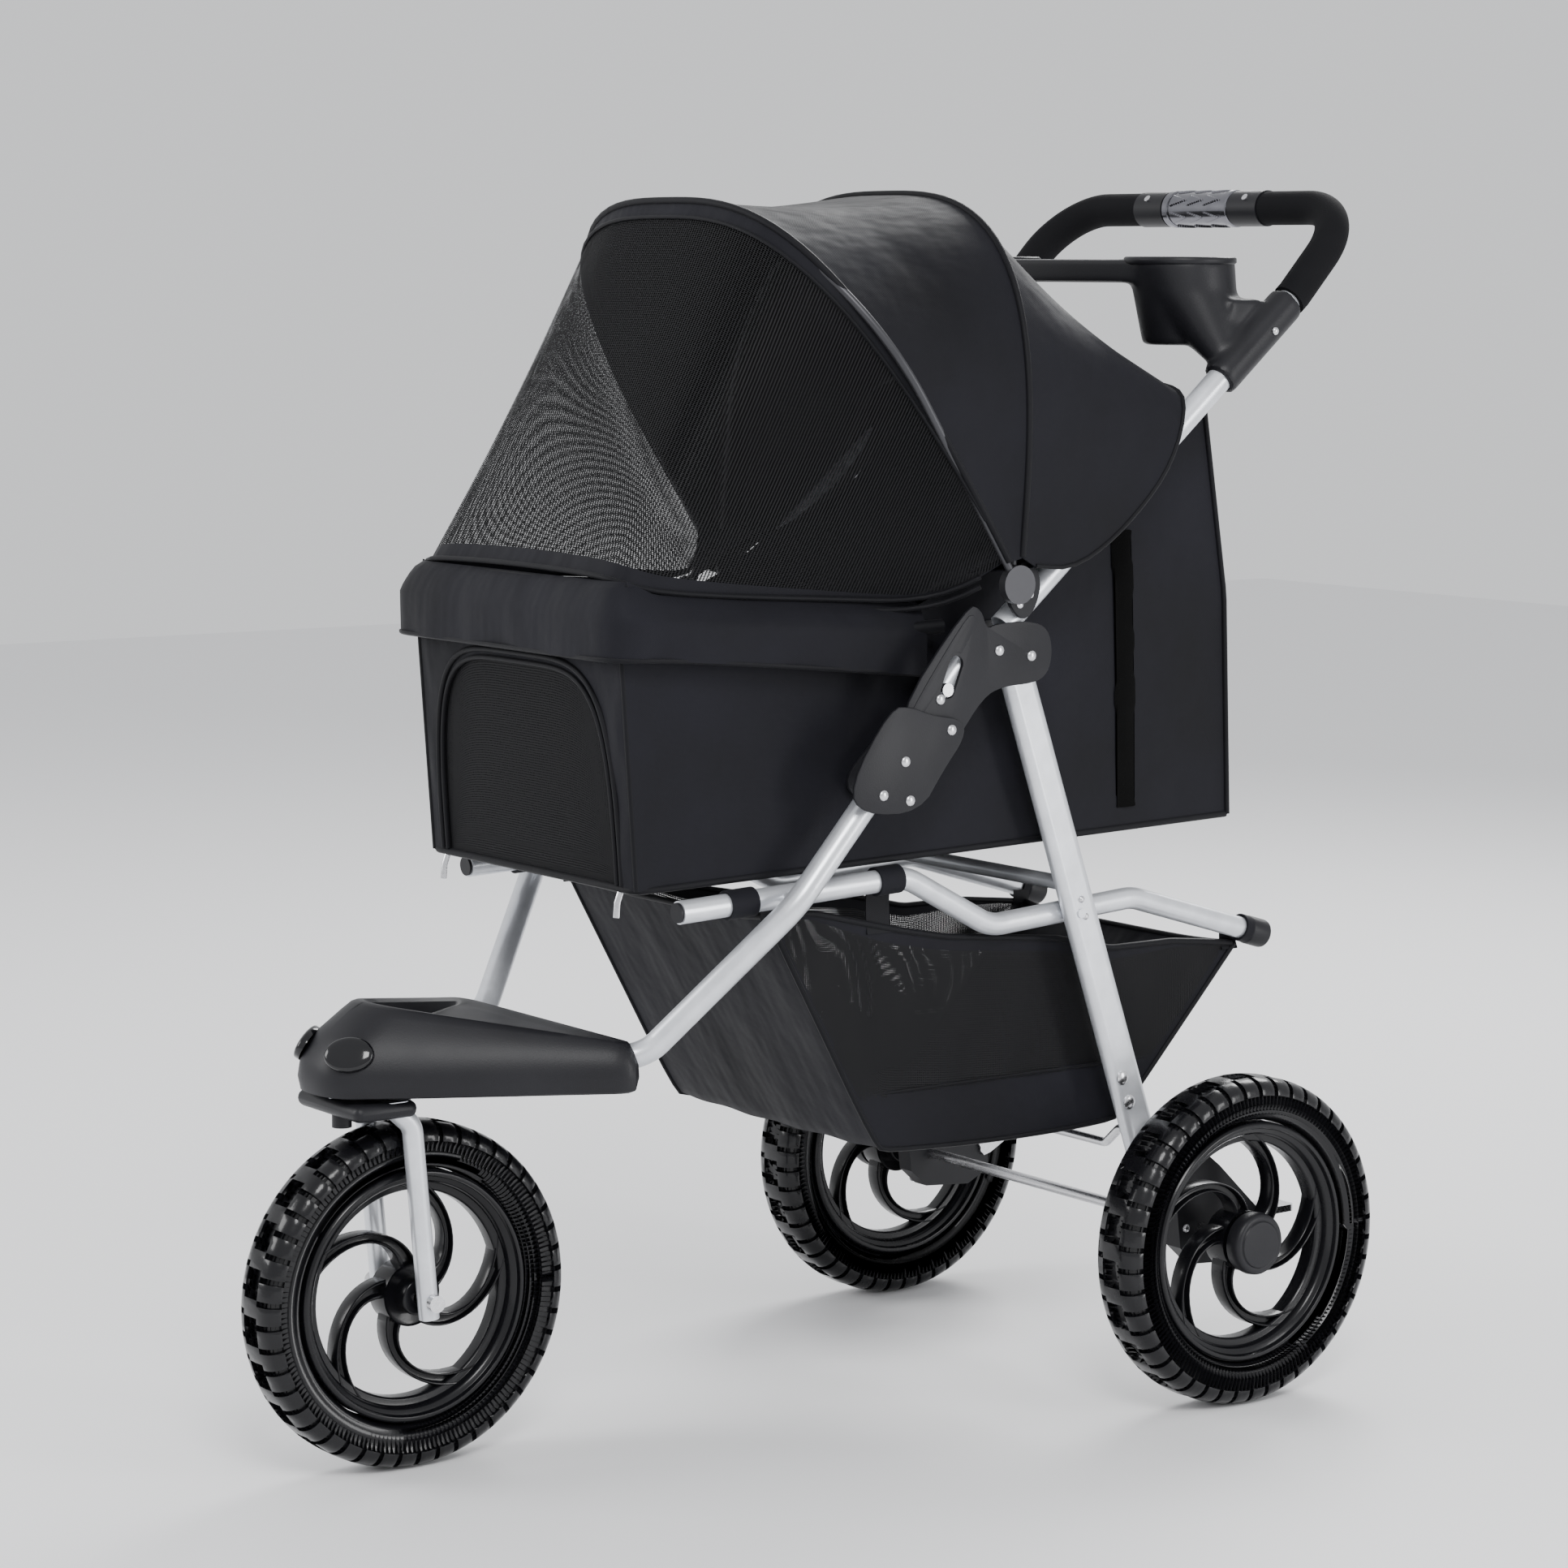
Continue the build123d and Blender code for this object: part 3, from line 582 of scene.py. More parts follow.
# ---------------------------------------------------------------- front cover
def build_fender():
    """Wedge cover: crowned sides, rounded rim and a sunken tray on top."""
    def outline(nose_y, nose_half, rear_y, rear_half, corner, z_front, z_rear):
        ring = soft([(-rear_half, rear_y, 0), (-nose_half, nose_y, 0), (nose_half, nose_y, 0),
                     (rear_half, rear_y, 0)],
                    closed=True, times=0)
        pts = []
        n = len(ring)
        for i, p in enumerate(ring):
            before, after = (ring[i - 1] - p), (ring[(i + 1) % n] - p)
            a, b = p + before.normalized() * corner, p + after.normalized() * corner
            for k in range(9):
                t = k / 8
                pts.append(a.lerp(p, t).lerp(p.lerp(b, t), t))
        pts = spread(pts + [pts[0]], 120)
        for p in pts:
            share = (p.y - nose_y) / (rear_y - nose_y)
            p.z = z_front + (z_rear - z_front) * share
        return pts
    rings = [outline(-418, 20, -240, 128, 20, 318, 318), outline(-440, 29, -224, 143, 24, 314, 314),
             outline(-446, 31, -221, 146, 26, 315.5, 315.5), outline(-448, 33, -219, 148, 28, 326, 326),
             outline(-446, 32, -219, 147, 28, 341, 336), outline(-432, 28, -220, 143, 28, 362, 345),
             outline(-411, 24, -221, 137, 26, 378, 351), outline(-403, 22, -222, 134, 24, 383.6, 352.4),
             outline(-399, 20, -224, 131, 23, 385, 352.6), outline(-393, 17, -228, 126, 20, 384.4, 352.2),
             outline(-389, 15, -231, 119, 16, 381, 351.8), outline(-386, 14, -234, 115, 13, 354, 351.4),
             outline(-383, 12, -237, 111, 12, 351.8, 351)]

    def place(u, v):
        return rings[round(v * (len(rings) - 1))][round(u * 120) % 120]
    obj = form("fender_shell", 120, len(rings) - 1, place, merge=False)
    tidy(obj, cap=True)
    well = sweep("well", [(0, -392, 300), (0, -392, 347)], 27.5, 40)
    cut(obj, [well])
    ship(obj, "front_frame", NYLON, ("front_fender",), 32)
    for side, word in (LEFT, RIGHT):
        middle, out = Vector((side * 34, -431, 351)), Vector((side * 0.62, -0.6, 0.5)).normalized()
        along = Vector((side * 0.55, 0.8, 0.0))
        along = (along - out * along.dot(out)).normalized()
        up = out.cross(along)

        def place(u, v, middle=middle, out=out, along=along, up=up):
            r = min(v * 1.12, 1.0)
            t = 2 * pi * u
            rise = 4.2 * (1 - r * r) ** 0.5 - (4.0 if v > 0.93 else 0)
            return middle + along * (20 * r * cos(t)) + up * (14.5 * r * sin(t)) + out * rise
        lens = form(f"lens_{word}", 40, 14, place)
        tidy(lens, cap=True)
        ship(lens, "front_frame", LENS, ("fender_lenses",), 60)


# ---------------------------------------------------------------- canopy
PIVOT = Vector((0, 96, 713))


def arch(angle, height, low, high, power, start=22, n=64):
    """Points from the left foot over the top to the right foot."""
    pts = []
    for i in range(241):
        t = pi * i / 240
        c, s = cos(t), sin(t)
        lift = abs(s) ** (2 / power)
        half = low + (high - low) * lift
        x = half * abs(c) ** (2 / power) * (1 if c >= 0 else -1)
        r = start + (height - start) * lift
        pts.append(PIVOT + Vector((x, r * cos(radians(angle)), r * sin(radians(angle)))))
    return spread(pts, n)


FRONT_BOW = arch(123, 369, 219, 219, 3.0)
REAR_BOW = arch(85.5, 319, 219, 219, 3.0)
HEM_HALF = [(219, 112, 727), (220, 150, 723), (221, 190, 744), (221, 225, 773), (221, 250, 800),
            (220, 266, 830),
            (214, 276, 858), (188, 290, 869), (140, 298, 873), (0, 300, 875)]
REAR_HEM = spread(soft(HEM_HALF + [(-x, y, z) for x, y, z in HEM_HALF[-2::-1]], times=3), 64)
CABIN_MIDDLE = Vector((0, 60, 700))
GUSSET_LINE = [hem.lerp(bow, 0.03) + (CABIN_MIDDLE - hem).normalized() * 2.5 for hem,
               bow in zip(REAR_HEM, REAR_BOW)]
RIM_HALF = [(217, 88, 736), (192, 60, 711), (162, 30, 698), (155.5, -40, 702), (155.5, -140, 708),
            (155, -222, 715),
            (146, -250, 724), (110, -252, 728), (0, -253, 730)]
RIM_LINE = spread(soft(RIM_HALF + [(-x, y, z) for x, y, z in RIM_HALF[-2::-1]], times=3), 64)


def curved_sheet(name, a, b, sag, rows, lift=0.0):
    """One sheet from line a to line b, drawn in a little between them."""
    n = len(a) - 1

    def place(u, v):
        i = round(u * n)
        p = a[i].lerp(b[i], v)
        pull = sin(pi * v) * sin(pi * u) ** 0.5 if 0 < u < 1 else 0
        inward = CABIN_MIDDLE - p
        inward.normalize()
        ripple = 1.2 * sin(9 * pi * u) * sin(pi * v) ** 2
        return p + inward * (sag * pull + ripple) + Vector((0, 0, lift))
    return form(name, n, rows, place, merge=False)


def build_canopy():
    front = cloth_shell(curved_sheet("canopy_front", FRONT_BOW, REAR_BOW, 7, 26))
    ship(front, "canopy", CLOTH, ("canopy_front_panel",), 60)
    rear = cloth_shell(curved_sheet("canopy_rear", REAR_BOW, REAR_HEM, 6, 26))
    ship(rear, "tub_frame", CLOTH, ("canopy_rear_panel",), 60)
    net = curved_sheet("canopy_net", FRONT_BOW, RIM_LINE, 5, 44)
    bare = [p.copy() for p in FRONT_BOW]
    only(net)
    net.data.materials.append(WINDOW)
    net.data.materials.append(CLOTH)
    rows = 44
    for p in net.data.polygons:
        row = p.index // 64
        p.material_index = 1 if row < 2 or row >= rows - 2 else 0
    modify(net, "SOLIDIFY", thickness=0.0006, offset=0)
    ship(net, "canopy", WINDOW, ("canopy_window",), 60)
    for piece, body, nodes in (("front", "canopy", FRONT_BOW), ("mid", "tub_frame", REAR_BOW),
                               ("hem", "tub_frame", REAR_HEM)):
        pipe = sweep(f"piping_{piece}", [p + Vector((0, 0, 1.2)) for p in nodes],
                     3.0 if piece != "hem" else 2.0, 10)
        ship(pipe, body, BINDING, smooth=60)
        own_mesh(pipe)
    seam_path = [bare[i].lerp(RIM_LINE[i],
                              2 / 44) + (bare[i] - CABIN_MIDDLE).normalized() * 1.2 for i in range(3, 62)]
    seam = sweep("window_seam", seam_path, 1.6, 8)
    ship(seam, "canopy", BINDING, smooth=60)
    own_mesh(seam)
    for k, up in enumerate((-7, 1)):
        rim = sweep(f"rim_zip_{k}", [p + Vector((0, 0, up)) + (p - Vector((0, 0, p.z))).normalized() * 2.0
                                     for p in RIM_LINE[2:63]], 2.2, 8)
        ship(rim, "tub_frame", BINDING, smooth=60)
        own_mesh(rim)
    top_half = [(155.8, y, rim_height(y) - 8) for y in range(88, 352, 12)] + [(152, 353.5, 841),
            (0, 354, 841)]
    cabin_top = spread(top_half + [(-x, y, z) for x, y, z in top_half[-2::-1]], 64)
    gusset = cloth_shell(curved_sheet("canopy_gusset", GUSSET_LINE, cabin_top, 0, 10))
    ship(gusset, "tub_frame", CLOTH, smooth=60)
    for side, word in (LEFT, RIGHT):
        corners = [Vector((side * x, y, z)) for x, y, z in ((217, 80, 741), (216, 120, 739),
                                                            (155, 30, 697), (157, 100, 736))]

        def patch_place(u, v, corners=corners):
            return corners[0].lerp(corners[1], u).lerp(corners[2].lerp(corners[3], u), v)
        patch = cloth_shell(form(f"pivot_patch_{word}", 10, 12, patch_place, merge=False))
        ship(patch, "tub_frame", CLOTH, smooth=60)
        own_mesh(patch)
    for o in (front, rear, net, gusset):
        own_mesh(o)
    for node in ("canopy_front_bow", "canopy_rear_bow", "cabin_rim_hoop"):
        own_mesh(frame["nodes"][node])


# ---------------------------------------------------------------- cabin
def rim_height(y):
    """Height of the cabin's top edge along its side."""
    line = [(-251, 725), (-222, 712), (-140, 705), (-40, 699), (30, 695), (60, 708), (100, 735), (150, 754),
            (200, 783), (250, 828), (285, 850), (351, 848)]
    for (y0, z0), (y1, z1) in zip(line, line[1:]):
        if y <= y1:
            return z0 + (z1 - z0) * max(y - y0, 0) / (y1 - y0)
    return line[-1][1]


def front_y(z):
    return -237 - 14 * min((z - 479) / 182, 1) if z < 661 else -251 + 4 * (z - 661) / 61


def rear_y(z):
    return 384 - 8 * (z - 497) / 193 if z < 690 else 376 - 26 * (z - 690) / 158


def floor_level(y):
    return 479 + 18 * (y + 237) / 621


def cabin_loop(v, n=150):
    """Points at height share v, from the near front corner round the back to the far front corner."""
    half = 153.6
    pts = []
    for i in range(n + 1):
        s = i / n
        if s < 0.4:
            y_share, x = s / 0.4, half
        elif s > 0.6:
            y_share, x = (1 - s) / 0.4, -half
        else:
            y_share, x = 1.0, half * (1 - (s - 0.4) / 0.1)
        z_low = floor_level(-237 + 621 * y_share)
        z_high = rim_height(-251 + 602 * y_share)
        z = z_low + (z_high - z_low) * v
        y = front_y(z) + (rear_y(z) - front_y(z)) * y_share
        pts.append(Vector((x, y, z)))
    return pts


def build_cabin():
    n, rows = 150, 30
    loops = [cabin_loop(j / rows, n) for j in range(rows + 1)]

    def place(u, v):
        i, j = round(u * n), round(v * rows)
        p = loops[j][i].copy()
        s = i / n
        pull = sin(pi * v) ** 0.8 if 0 < v < 1 else 0
        along = sin(pi * min(s, 1 - s) / 0.4) if min(s, 1 - s) < 0.4 else 0
        wrinkle = 1.0 * sin(23 * s * pi + 3 * v) * sin(2 * pi * v) + 0.8 * sin(41 * s * pi - 7 * v) * pull
        inward = 3.0 * pull * along - 0.5 * wrinkle * pull
        if min(s, 1 - s) < 0.4:
            p.x -= inward * (1 if p.x > 0 else -1)
        else:
            p.y -= 2.5 * pull * sin(pi * (s - 0.4) / 0.2) + 0.6 * wrinkle
        return p
    wrap = form("cabin_wrap", n, rows, place, merge=False)
    cloth_shell(wrap, 1.4)
    ship(wrap, "tub_frame", CLOTH, ("cabin_side_left", "cabin_side_right", "cabin_rear"), 60)

    def panel_edge(t):
        """Outline of the front panel, t from 0 to 1 from foot to foot over the top."""
        if t < 0.3:
            x, z = 151.5, 479 + 243 * t / 0.3
        elif t > 0.7:
            x, z = -151.5, 479 + 243 * (1 - t) / 0.3
        else:
            x, z = 151.5 * (1 - (t - 0.3) / 0.2), 722
        return Vector((x, front_y(z), z))

    def door_edge(t, grow=0.0):
        a = pi * t
        c, s = cos(a), sin(a)
        x = (128 + grow) * abs(c) ** 0.42 * (1 if c >= 0 else -1)
        z = 489 - grow + (162 + 2 * grow) * abs(s) ** 0.62
        if t < 1e-6 or t > 1 - 1e-6:
            z = 482
        return Vector((x, front_y(z), z))
    edge = spread([panel_edge(i / 300) for i in range(301)], 90)
    mouth = spread([door_edge(i / 300) for i in range(301)], 90)

    def front_place(u, v):
        i = round(u * 90)
        p = mouth[i].lerp(edge[i], v)
        p.y = front_y(p.z) - 1.5 * sin(pi * v) - 0.8 * sin(14 * pi * u) * sin(pi * v)
        return p
    panel = cloth_shell(form("cabin_front_panel", 90, 12, front_place, merge=False), 1.4)
    ship(panel, "tub_frame", CLOTH, ("cabin_front",), 60)

    half_door = [mouth[i] for i in range(91)]

    def net_place(u, v):
        x = 127 * (1 - 2 * u)
        top = 482
        for a, b in zip(half_door, half_door[1:]):
            if min(a.x, b.x) <= x <= max(a.x, b.x) and abs(a.x - b.x) > 1e-6:
                top = max(top, a.z + (b.z - a.z) * (x - a.x) / (b.x - a.x))
        z = 482 + (top - 482) * v
        return (x, front_y(z) + 0.6 - 1.4 * sin(pi * v) * sin(pi * u), z)
    net = form("door_net", 60, 34, net_place, merge=False)
    modify(net, "SOLIDIFY", thickness=0.0006, offset=0)
    ship(net, "front_door", DOOR_NET, ("front_door",), 60)
    zip_line = [p + Vector((0, -1.6, 0)) for p in mouth]
    coil = sweep("door_zip", zip_line, 2.2, 8)
    ship(coil, "front_door", BINDING, smooth=60)
    tape = [door_edge(i / 120, 7) + Vector((0, -1.4, 0)) for i in range(121)]
    band = sweep("door_binding", spread(tape, 100), 2.6, 8)
    ship(band, "tub_frame", BINDING, smooth=60)

    def flap_line(z_near, z_front, out):
        ring = [(153 + out, 36, z_near), (153 + out, -205, z_front - 2), (153 + out, -252 - out, z_front),
                (100, -252 - out, z_front), (-100, -252 - out, z_front), (-153 - out, -252 - out, z_front),
                (-153 - out, -205, z_front - 2), (-153 - out, 36, z_near)]
        return spread(soft(ring, times=4), 120)
    top, bottom = flap_line(694, 724, 2), flap_line(638, 664, 19)
    for p in top:
        p.z = min(rim_height(p.y) + 1, 724)

    def flap_place(u, v):
        i = round(u * 120)
        out = min(v / 0.4, 1) ** 0.6
        p = top[i].lerp(bottom[i], out)
        p.z = top[i].z + (bottom[i].z - top[i].z) * v
        away = Vector((p.x, 0, 0)).normalized() if p.y > -240 else Vector((0, -1, 0))
        return p + away * (1.3 * sin(11 * pi * u) * v * v + 0.7 * sin(27 * pi * u) * v)
    flap = cloth_shell(form("cabin_flap", 120, 12, flap_place, merge=False), 1.8)
    ship(flap, "tub_frame", CLOTH, ("front_flap",), 60)
    hem = sweep("flap_hem", [p + Vector((0, 0, 0.5)) for p in bottom], 2.2, 8, flat=0.7)
    ship(hem, "tub_frame", BINDING, smooth=60)
    base = [Vector((153, y, floor_level(y))) for y in range(384, -236,
                                                            -20)] + [Vector((151, -237, 479)),
                                                                    Vector((-151, -237, 479))] \
        + [Vector((-153, y, floor_level(y))) for y in range(-236, 385, 20)]
    foot = sweep("base_binding", spread(base, 160), 3.2, 8)
    ship(foot, "tub_frame", BINDING, smooth=60)
    pieces = [wrap, panel, flap, hem, foot, band, coil, net]
    for side, word in (LEFT, RIGHT):
        corner = [loops[j][60 if side > 0 else 90] + Vector((side * 1.0, 1.0, 0)) for j in range(rows + 1)]
        cord = sweep(f"rear_corner_{word}", corner, 2.4, 8)
        ship(cord, "tub_frame", BINDING, smooth=60)
        second = [p + Vector((-side * 14, 1.5, 0)) for p in corner]
        zipper = sweep(f"rear_zip_{word}", second, 2.0, 8)
        ship(zipper, "tub_frame", BINDING, smooth=60)
        front_corner = [Vector((side * 152.4, front_y(479 + 243 * j / 20),
                                479 + 243 * j / 20)) for j in range(21)]
        edge_cord = sweep(f"front_corner_{word}", front_corner, 2.2, 8)
        ship(edge_cord, "tub_frame", BINDING, smooth=60)
        tape = [(side * 154.5, y, z) for y, z in ((268, 512), (266, 600), (262, 700), (259, 748))]
        strip = sweep(f"hook_strip_{word}", spread(tape, 24), 14, 12, flat=0.09)
        for v in strip.data.vertices:
            off = v.co.y - 0.264
            v.co.x = side * (0.1536 + (0.0016 if abs(v.co.x) > 0.1545 else 0))
            v.co.y = 0.264 + off * 1.0
        modify(strip, "SOLIDIFY", thickness=0.0012, offset=1)
        ship(strip, "tub_frame", HOOK, smooth=60)
        pieces += [cord, zipper, edge_cord, strip]
        pull_z = Vector((side * 131, -238, 476))
        tag = sweep(f"zip_pull_{word}", [pull_z, pull_z + Vector((0, -3, -8)),
                                         pull_z + Vector((0, -4, -20))], 2.6, 10, flat=0.5)
        ship(tag, "front_door", STEEL, smooth=60)
    for o in pieces:
        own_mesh(o)


def build_pad():
    """Floor pad: a rounded slab blown up by cloth pressure, then quilted across."""
    bpy.ops.object.select_all(action="DESELECT")
    bpy.ops.mesh.primitive_cube_add(size=1)
    pad = bpy.context.object
    pad.name = "pad"
    for v in pad.data.vertices:
        y = (72.5 + 600 * v.co.y)
        z = floor_level(y) + 9 + (2.5 if v.co.z < 0 else 12.5)
        v.co = Vector((2 * 139 * v.co.x, y, z)) * MM
    modify(pad, "REMESH", mode="VOXEL", voxel_size=0.006)
    rest = [v.co.copy() for v in pad.data.vertices]
    only(pad)
    cloth = pad.modifiers.new("cloth", "CLOTH")
    cloth.settings.use_pressure = True
    cloth.settings.uniform_pressure_force = 4
    cloth.settings.effector_weights.gravity = 0
    for step in range(1, 17):
        bpy.context.scene.frame_set(step)
    bpy.ops.object.modifier_apply(modifier=cloth.name)
    bpy.context.scene.frame_set(1)
    for v, r in zip(pad.data.vertices, rest):
        move = v.co - r
        if move.length > 0.004:
            v.co = r + move.normalized() * 0.004
        if r.z - floor_level(r.y * 1000) * MM < 0.014:
            v.co.z = r.z
    for v in pad.data.vertices:
        x, y = v.co.x / MM, v.co.y / MM
        top = v.co.z > (floor_level(y) + 17) * MM
        if top:
            near = min(abs((y - 72.5 + 50) % 100 - 50), abs((x + 45) % 90 - 45))
            v.co.z -= 0.003 * max(0, 1 - near / 9)
    modify(pad, "SUBSURF", levels=1, render_levels=1)
    ship(pad, "tub_frame", PAD, ("floor_pad",), 60)


# ---------------------------------------------------------------- basket
def build_basket():
    route = spread(soft([(0, -105, 447), (0, -60, 366), (0, 8, 243), (0, 20, 239), (0, 140, 234),
                         (0, 262, 236), (0, 276, 243),
                         (0, 350, 322), (0, 404, 380)], times=2), 70)

    def place(u, v):
        p = route[round(v * 70)]
        x = 145.5 * (2 * u - 1)
        drop = 7 * sin(pi * v) ** 2 * (1 - (2 * u - 1) ** 2)
        top = (1 - abs(2 * v - 1))
        edge_sag = 5 * max(0, 1 - top / 0.14) * (1 - (2 * u - 1) ** 4)
        fold = 1.3 * sin(8 * pi * u + 5 * v) * sin(pi * v)
        return (x, p.y, p.z - drop * 0.4 - edge_sag + fold * 0.6)
    strip = cloth_shell(form("basket_strip", 44, 70, place, merge=False), 1.4)
    ship(strip, "tub_frame", CLOTH, ("basket_front", "basket_rear", "basket_floor"), 60)
    low = [(y, z) for _, y, z in route]

    def top_z(y):
        line = [(-105, 447), (-60, 446), (30, 424), (80, 414), (140, 408), (200, 402), (260, 388),
                (330, 388), (404, 380)]
        for (y0, z0), (y1, z1) in zip(line, line[1:]):
            if y <= y1:
                return z0 + (z1 - z0) * max(y - y0, 0) / (y1 - y0)
        return line[-1][1]

    def low_z(y):
        best = 430.0
        for (y0, z0), (y1, z1) in zip(low, low[1:]):
            if y0 <= y <= y1 and y1 > y0:
                best = z0 + (z1 - z0) * (y - y0) / (y1 - y0)
        return best
    for side, word in (LEFT, RIGHT):
        def side_place(u, v, side=side):
            y = -104 + 507 * u
            bottom, top = low_z(y), top_z(y)
            z = bottom + (top - bottom) * v
            bow = 5 * sin(pi * v) * sin(pi * u) + 1.0 * sin(15 * pi * u) * sin(pi * v)
            return (side * (146.4 - bow), y, z)
        cols, rows = 90, 30
        wall = form(f"basket_wall_{word}", cols, rows, side_place, merge=False)
        wall.data.materials.append(BASKET_NET)
        wall.data.materials.append(CLOTH)
        for p in wall.data.polygons:
            c = p.center / MM
            row = p.index // cols
            band = c.z < 287 or row >= rows - 2 or c.z < low_z(c.y) + 10
            p.material_index = 1 if band else 0
        modify(wall, "SOLIDIFY", thickness=0.0008, offset=0)
        ship(wall, "tub_frame", BASKET_NET, (f"basket_side_{word}",), 60)
        seam = sweep(f"basket_seam_{word}", [(side * 146.4, y, z) for y, z in low], 2.4, 8)
        ship(seam, "tub_frame", BINDING, smooth=60)
        lip = [(side * 146.4, y, top_z(y)) for y in range(-104, 404, 8)]
        edge = sweep(f"basket_lip_{word}", soft(lip, times=1), 2.8, 8)
        ship(edge, "tub_frame", BINDING, smooth=60)
        band = sweep(f"basket_band_{word}", [(side * 144, y, 287) for y in range(-14, 312, 8)], 2.0, 8,
                     flat=0.6)
        ship(band, "tub_frame", BINDING, smooth=60)
        tabs = []
        for y, z, wide in ((-100, 452, 22), (8, 462, 24), (398, 392, 18)):
            xx = side * (159 - (y + 201) / 399 * 4.5 if y < 198 else 154.5)

            def tab_place(u, v, y=y, z=z, wide=wide, xx=xx, side=side):
                low_point = Vector((side * 147, y, top_z(min(max(y, -98), 403)) - 6))
                p = Vector((xx - side * 11, y, z)).lerp(low_point, v)
                p.y += wide * (u - 0.5)
                p.x += -side * 1.5 * sin(pi * v)
                return p
            tabs.append(cloth_shell(form("tab", 6, 10, tab_place, merge=False), 1.4))
        ship(join(f"basket_tabs_{word}", tabs), "tub_frame", BINDING, smooth=60)
    for line, name in ((0, "front"), (1, "rear")):
        v = 0.0 if line == 0 else 1.0
        lip = sweep(f"basket_lip_{name}", [place(i / 40, v) for i in range(41)], 2.8, 8)
        ship(lip, "tub_frame", BINDING, smooth=60)


# ---------------------------------------------------------------- handle and tray
def block(name, middle, size, taper=1.0, turn=0.0):
    bpy.ops.object.select_all(action="DESELECT")
    bpy.ops.mesh.primitive_cube_add(size=1)
    obj = bpy.context.object
    obj.name = name
    for v in obj.data.vertices:
        k = taper if v.co.z < 0 else 1.0
        p = Vector((v.co.x * size[0] * k, v.co.y * size[1] * k, v.co.z * size[2]))
        p = Matrix.Rotation(turn, 3, "X") @ p
        v.co = (p + Vector(middle)) * MM
    return obj


def cone(name, x, y, z0, r0, z1, r1, sides=64):
    def place(u, v):
        r, z = r0 + (r1 - r0) * v, z0 + (z1 - z0) * v
        return (x + r * cos(2 * pi * u), y + r * sin(2 * pi * u), z)
    obj = form(name, sides, 8, place)
    tidy(obj, cap=True)
    return obj


def build_tray():
    parts = []
    for side in (1, -1):
        x = side * 132
        parts.append(cone("cup", x, 340, 905, 31, 979, 46))
        parts.append(sweep("clamp", [(side * 193, 332, 876.5), (side * 193, 409, 942.2)], 16.2, 32))
        line = [((132, 340, 976), 47), ((140, 342, 952), 42), ((157, 346, 926), 34), ((175, 347, 903), 23),
                ((188, 345, 889), 14)]

        def funnel_place(u, v, side=side, line=line):
            (x, y, z), r = line[round(v * 4)]
            return (side * x + r * cos(2 * pi * u), y + r * sin(2 * pi * u), z)
        funnel = form("funnel", 48, 4, funnel_place)
        tidy(funnel, cap=True)
        parts.append(funnel)
        parts.append(block("web", (side * 178, 364, 925), (26, 34, 40)))
    parts.append(block("bar", (0, 318, 968), (250, 44, 20)))
    tray = join("tray_body", parts)
    modify(tray, "REMESH", mode="VOXEL", voxel_size=0.0026)
    modify(tray, "SMOOTH", factor=0.6, iterations=9)
    tools = [cone("well", s * 132, 340, 912, 29.5, 979.4 + 8, 41.5) for s in (1, -1)]
    tools.append(block("pocket", (0, 318, 981), (150, 30, 18)))
    tools += [sweep("bore", [(s * 193, 290, 840.7), (s * 193, 440, 968.6)], 11.1, 32) for s in (1, -1)]
    tools.append(block("lid", (0, 340, 979.5 + 40), (600, 300, 80)))
    cut(tray, tools)
    ship(tray, "handle_frame", NYLON, ("parent_tray",), 32)
    for side, word in (LEFT, RIGHT):
        outline = [(41.5, 978), (41.8, 980.2), (43.2, 981.2), (46.8, 981.2), (48.4, 980), (48.6, 976.5),
                   (46, 974), (43, 974)]

        def rim_place(u, v, side=side):
            r, z = outline[round(v * 8) % 8]
            return (side * 132 + r * cos(2 * pi * u), 340 + r * sin(2 * pi * u), z - 0.8)
        lip = form(f"cup_lip_{word}", 72, 8, rim_place)
        ship(lip, "handle_frame", NYLON, smooth=50)


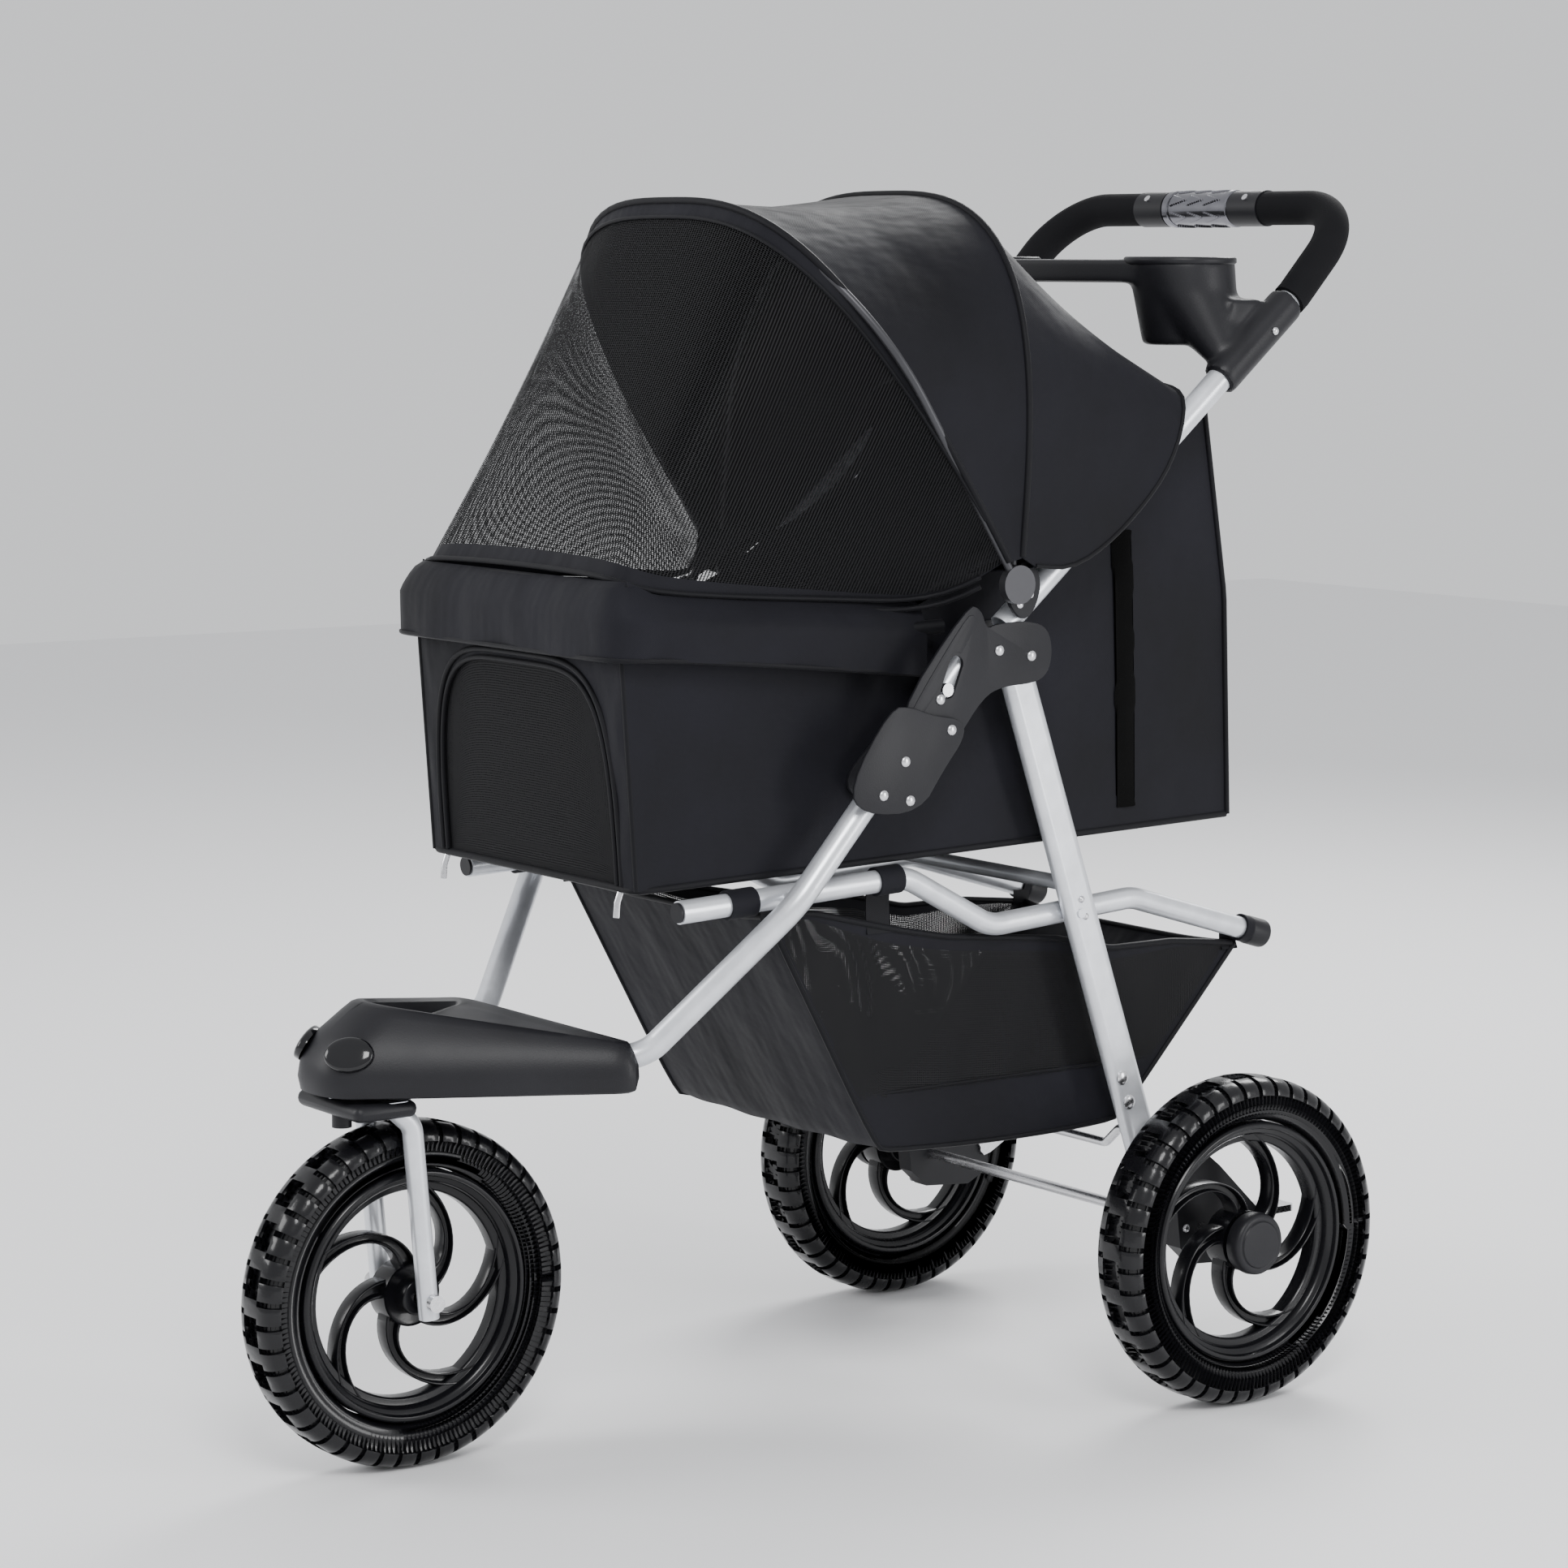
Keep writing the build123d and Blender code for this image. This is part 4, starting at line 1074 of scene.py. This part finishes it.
def build_barrel():
    """Twist barrel: end collars and three raised wedge facets in each of six rows."""
    def place(u, v):
        x = -43.5 + 87 * v
        a = 2 * pi * u
        r = 16.6
        if 5 < abs(x) < 36 or abs(x) < 5:
            row = (u * 6) % 1
            cell = ((x + 33) / 22) % 1 if abs(x) < 33 else 0
            inside = abs(x) < 33 and abs(row - 0.5) < 0.36 * (1 - cell) and cell > 0.06
            r = 16.9 if inside else 15.2
        if abs(x) > 42.6:
            r = 15.4
        return (x, 486.5 + r * cos(a), 1024 + r * sin(a))
    barrel = form("twist_barrel", 144, 130, place, merge=False)
    tidy(barrel, cap=True)
    ship(barrel, "release_barrel", SMOKE, ("release_barrel",), 25)


build_wheels()
build_fender()
build_side_plates()
build_small_hardware()
build_canopy()
build_cabin()
build_pad()
build_basket()
build_tray()
build_barrel()


# ---------------------------------------------------------------- stage
def light(name, kind, place, size, power, colour=(1, 1, 1)):
    data = bpy.data.lights.new(name, kind)
    data.energy, data.color = power, colour
    data.shape, data.size, data.size_y = "RECTANGLE", size[0], size[1]
    obj = bpy.data.objects.new(name, data)
    bpy.context.scene.collection.objects.link(obj)
    obj.location = place
    obj.rotation_euler = (Vector((0, 0, 0.5)) - Vector(place)).to_track_quat("-Z", "Y").to_euler()


def build_stage():
    bpy.ops.object.select_all(action="DESELECT")
    bpy.ops.mesh.primitive_plane_add(size=14)
    floor = bpy.context.object
    floor.name = "studio_floor"
    mat, tree, shader = material("pale_floor", (0.86, 0.86, 0.87), 0.6)
    floor.data.materials.append(mat)
    light("key", "AREA", (3.0, -1.6, 3.2), (1.4, 1.4), 120)
    light("fill", "AREA", (-1.8, -3.2, 2.0), (1.6, 1.6), 70)
    light("back", "AREA", (-1.5, 2.6, 2.6), (1.8, 1.2), 90)
    light("side", "AREA", (3.2, 1.8, 1.0), (0.7, 1.8), 45)
    world = bpy.data.worlds.new("studio")
    bpy.context.scene.world = world
    world.use_nodes = True
    world.node_tree.nodes["Background"].inputs["Color"].default_value = (0.93, 0.94, 0.96, 1)
    world.node_tree.nodes["Background"].inputs["Strength"].default_value = 0.95
    data = bpy.data.cameras.new("camera")
    data.sensor_width, data.lens, data.clip_start = 36, 96.34, 0.05
    camera = bpy.data.objects.new("camera", data)
    bpy.context.scene.collection.objects.link(camera)
    right, up, back = (Vector((0.58826, 0.80866, 0.0052)), Vector((-0.10151, 0.06747, 0.99254)),
                       Vector((0.80228, -0.5844, 0.12178)))
    turn = Matrix((right, up, back)).transposed().to_4x4()
    camera.matrix_world = Matrix.Translation((2.8724, -2.0747, 0.9681)) @ turn
    bpy.context.scene.camera = camera


build_stage()
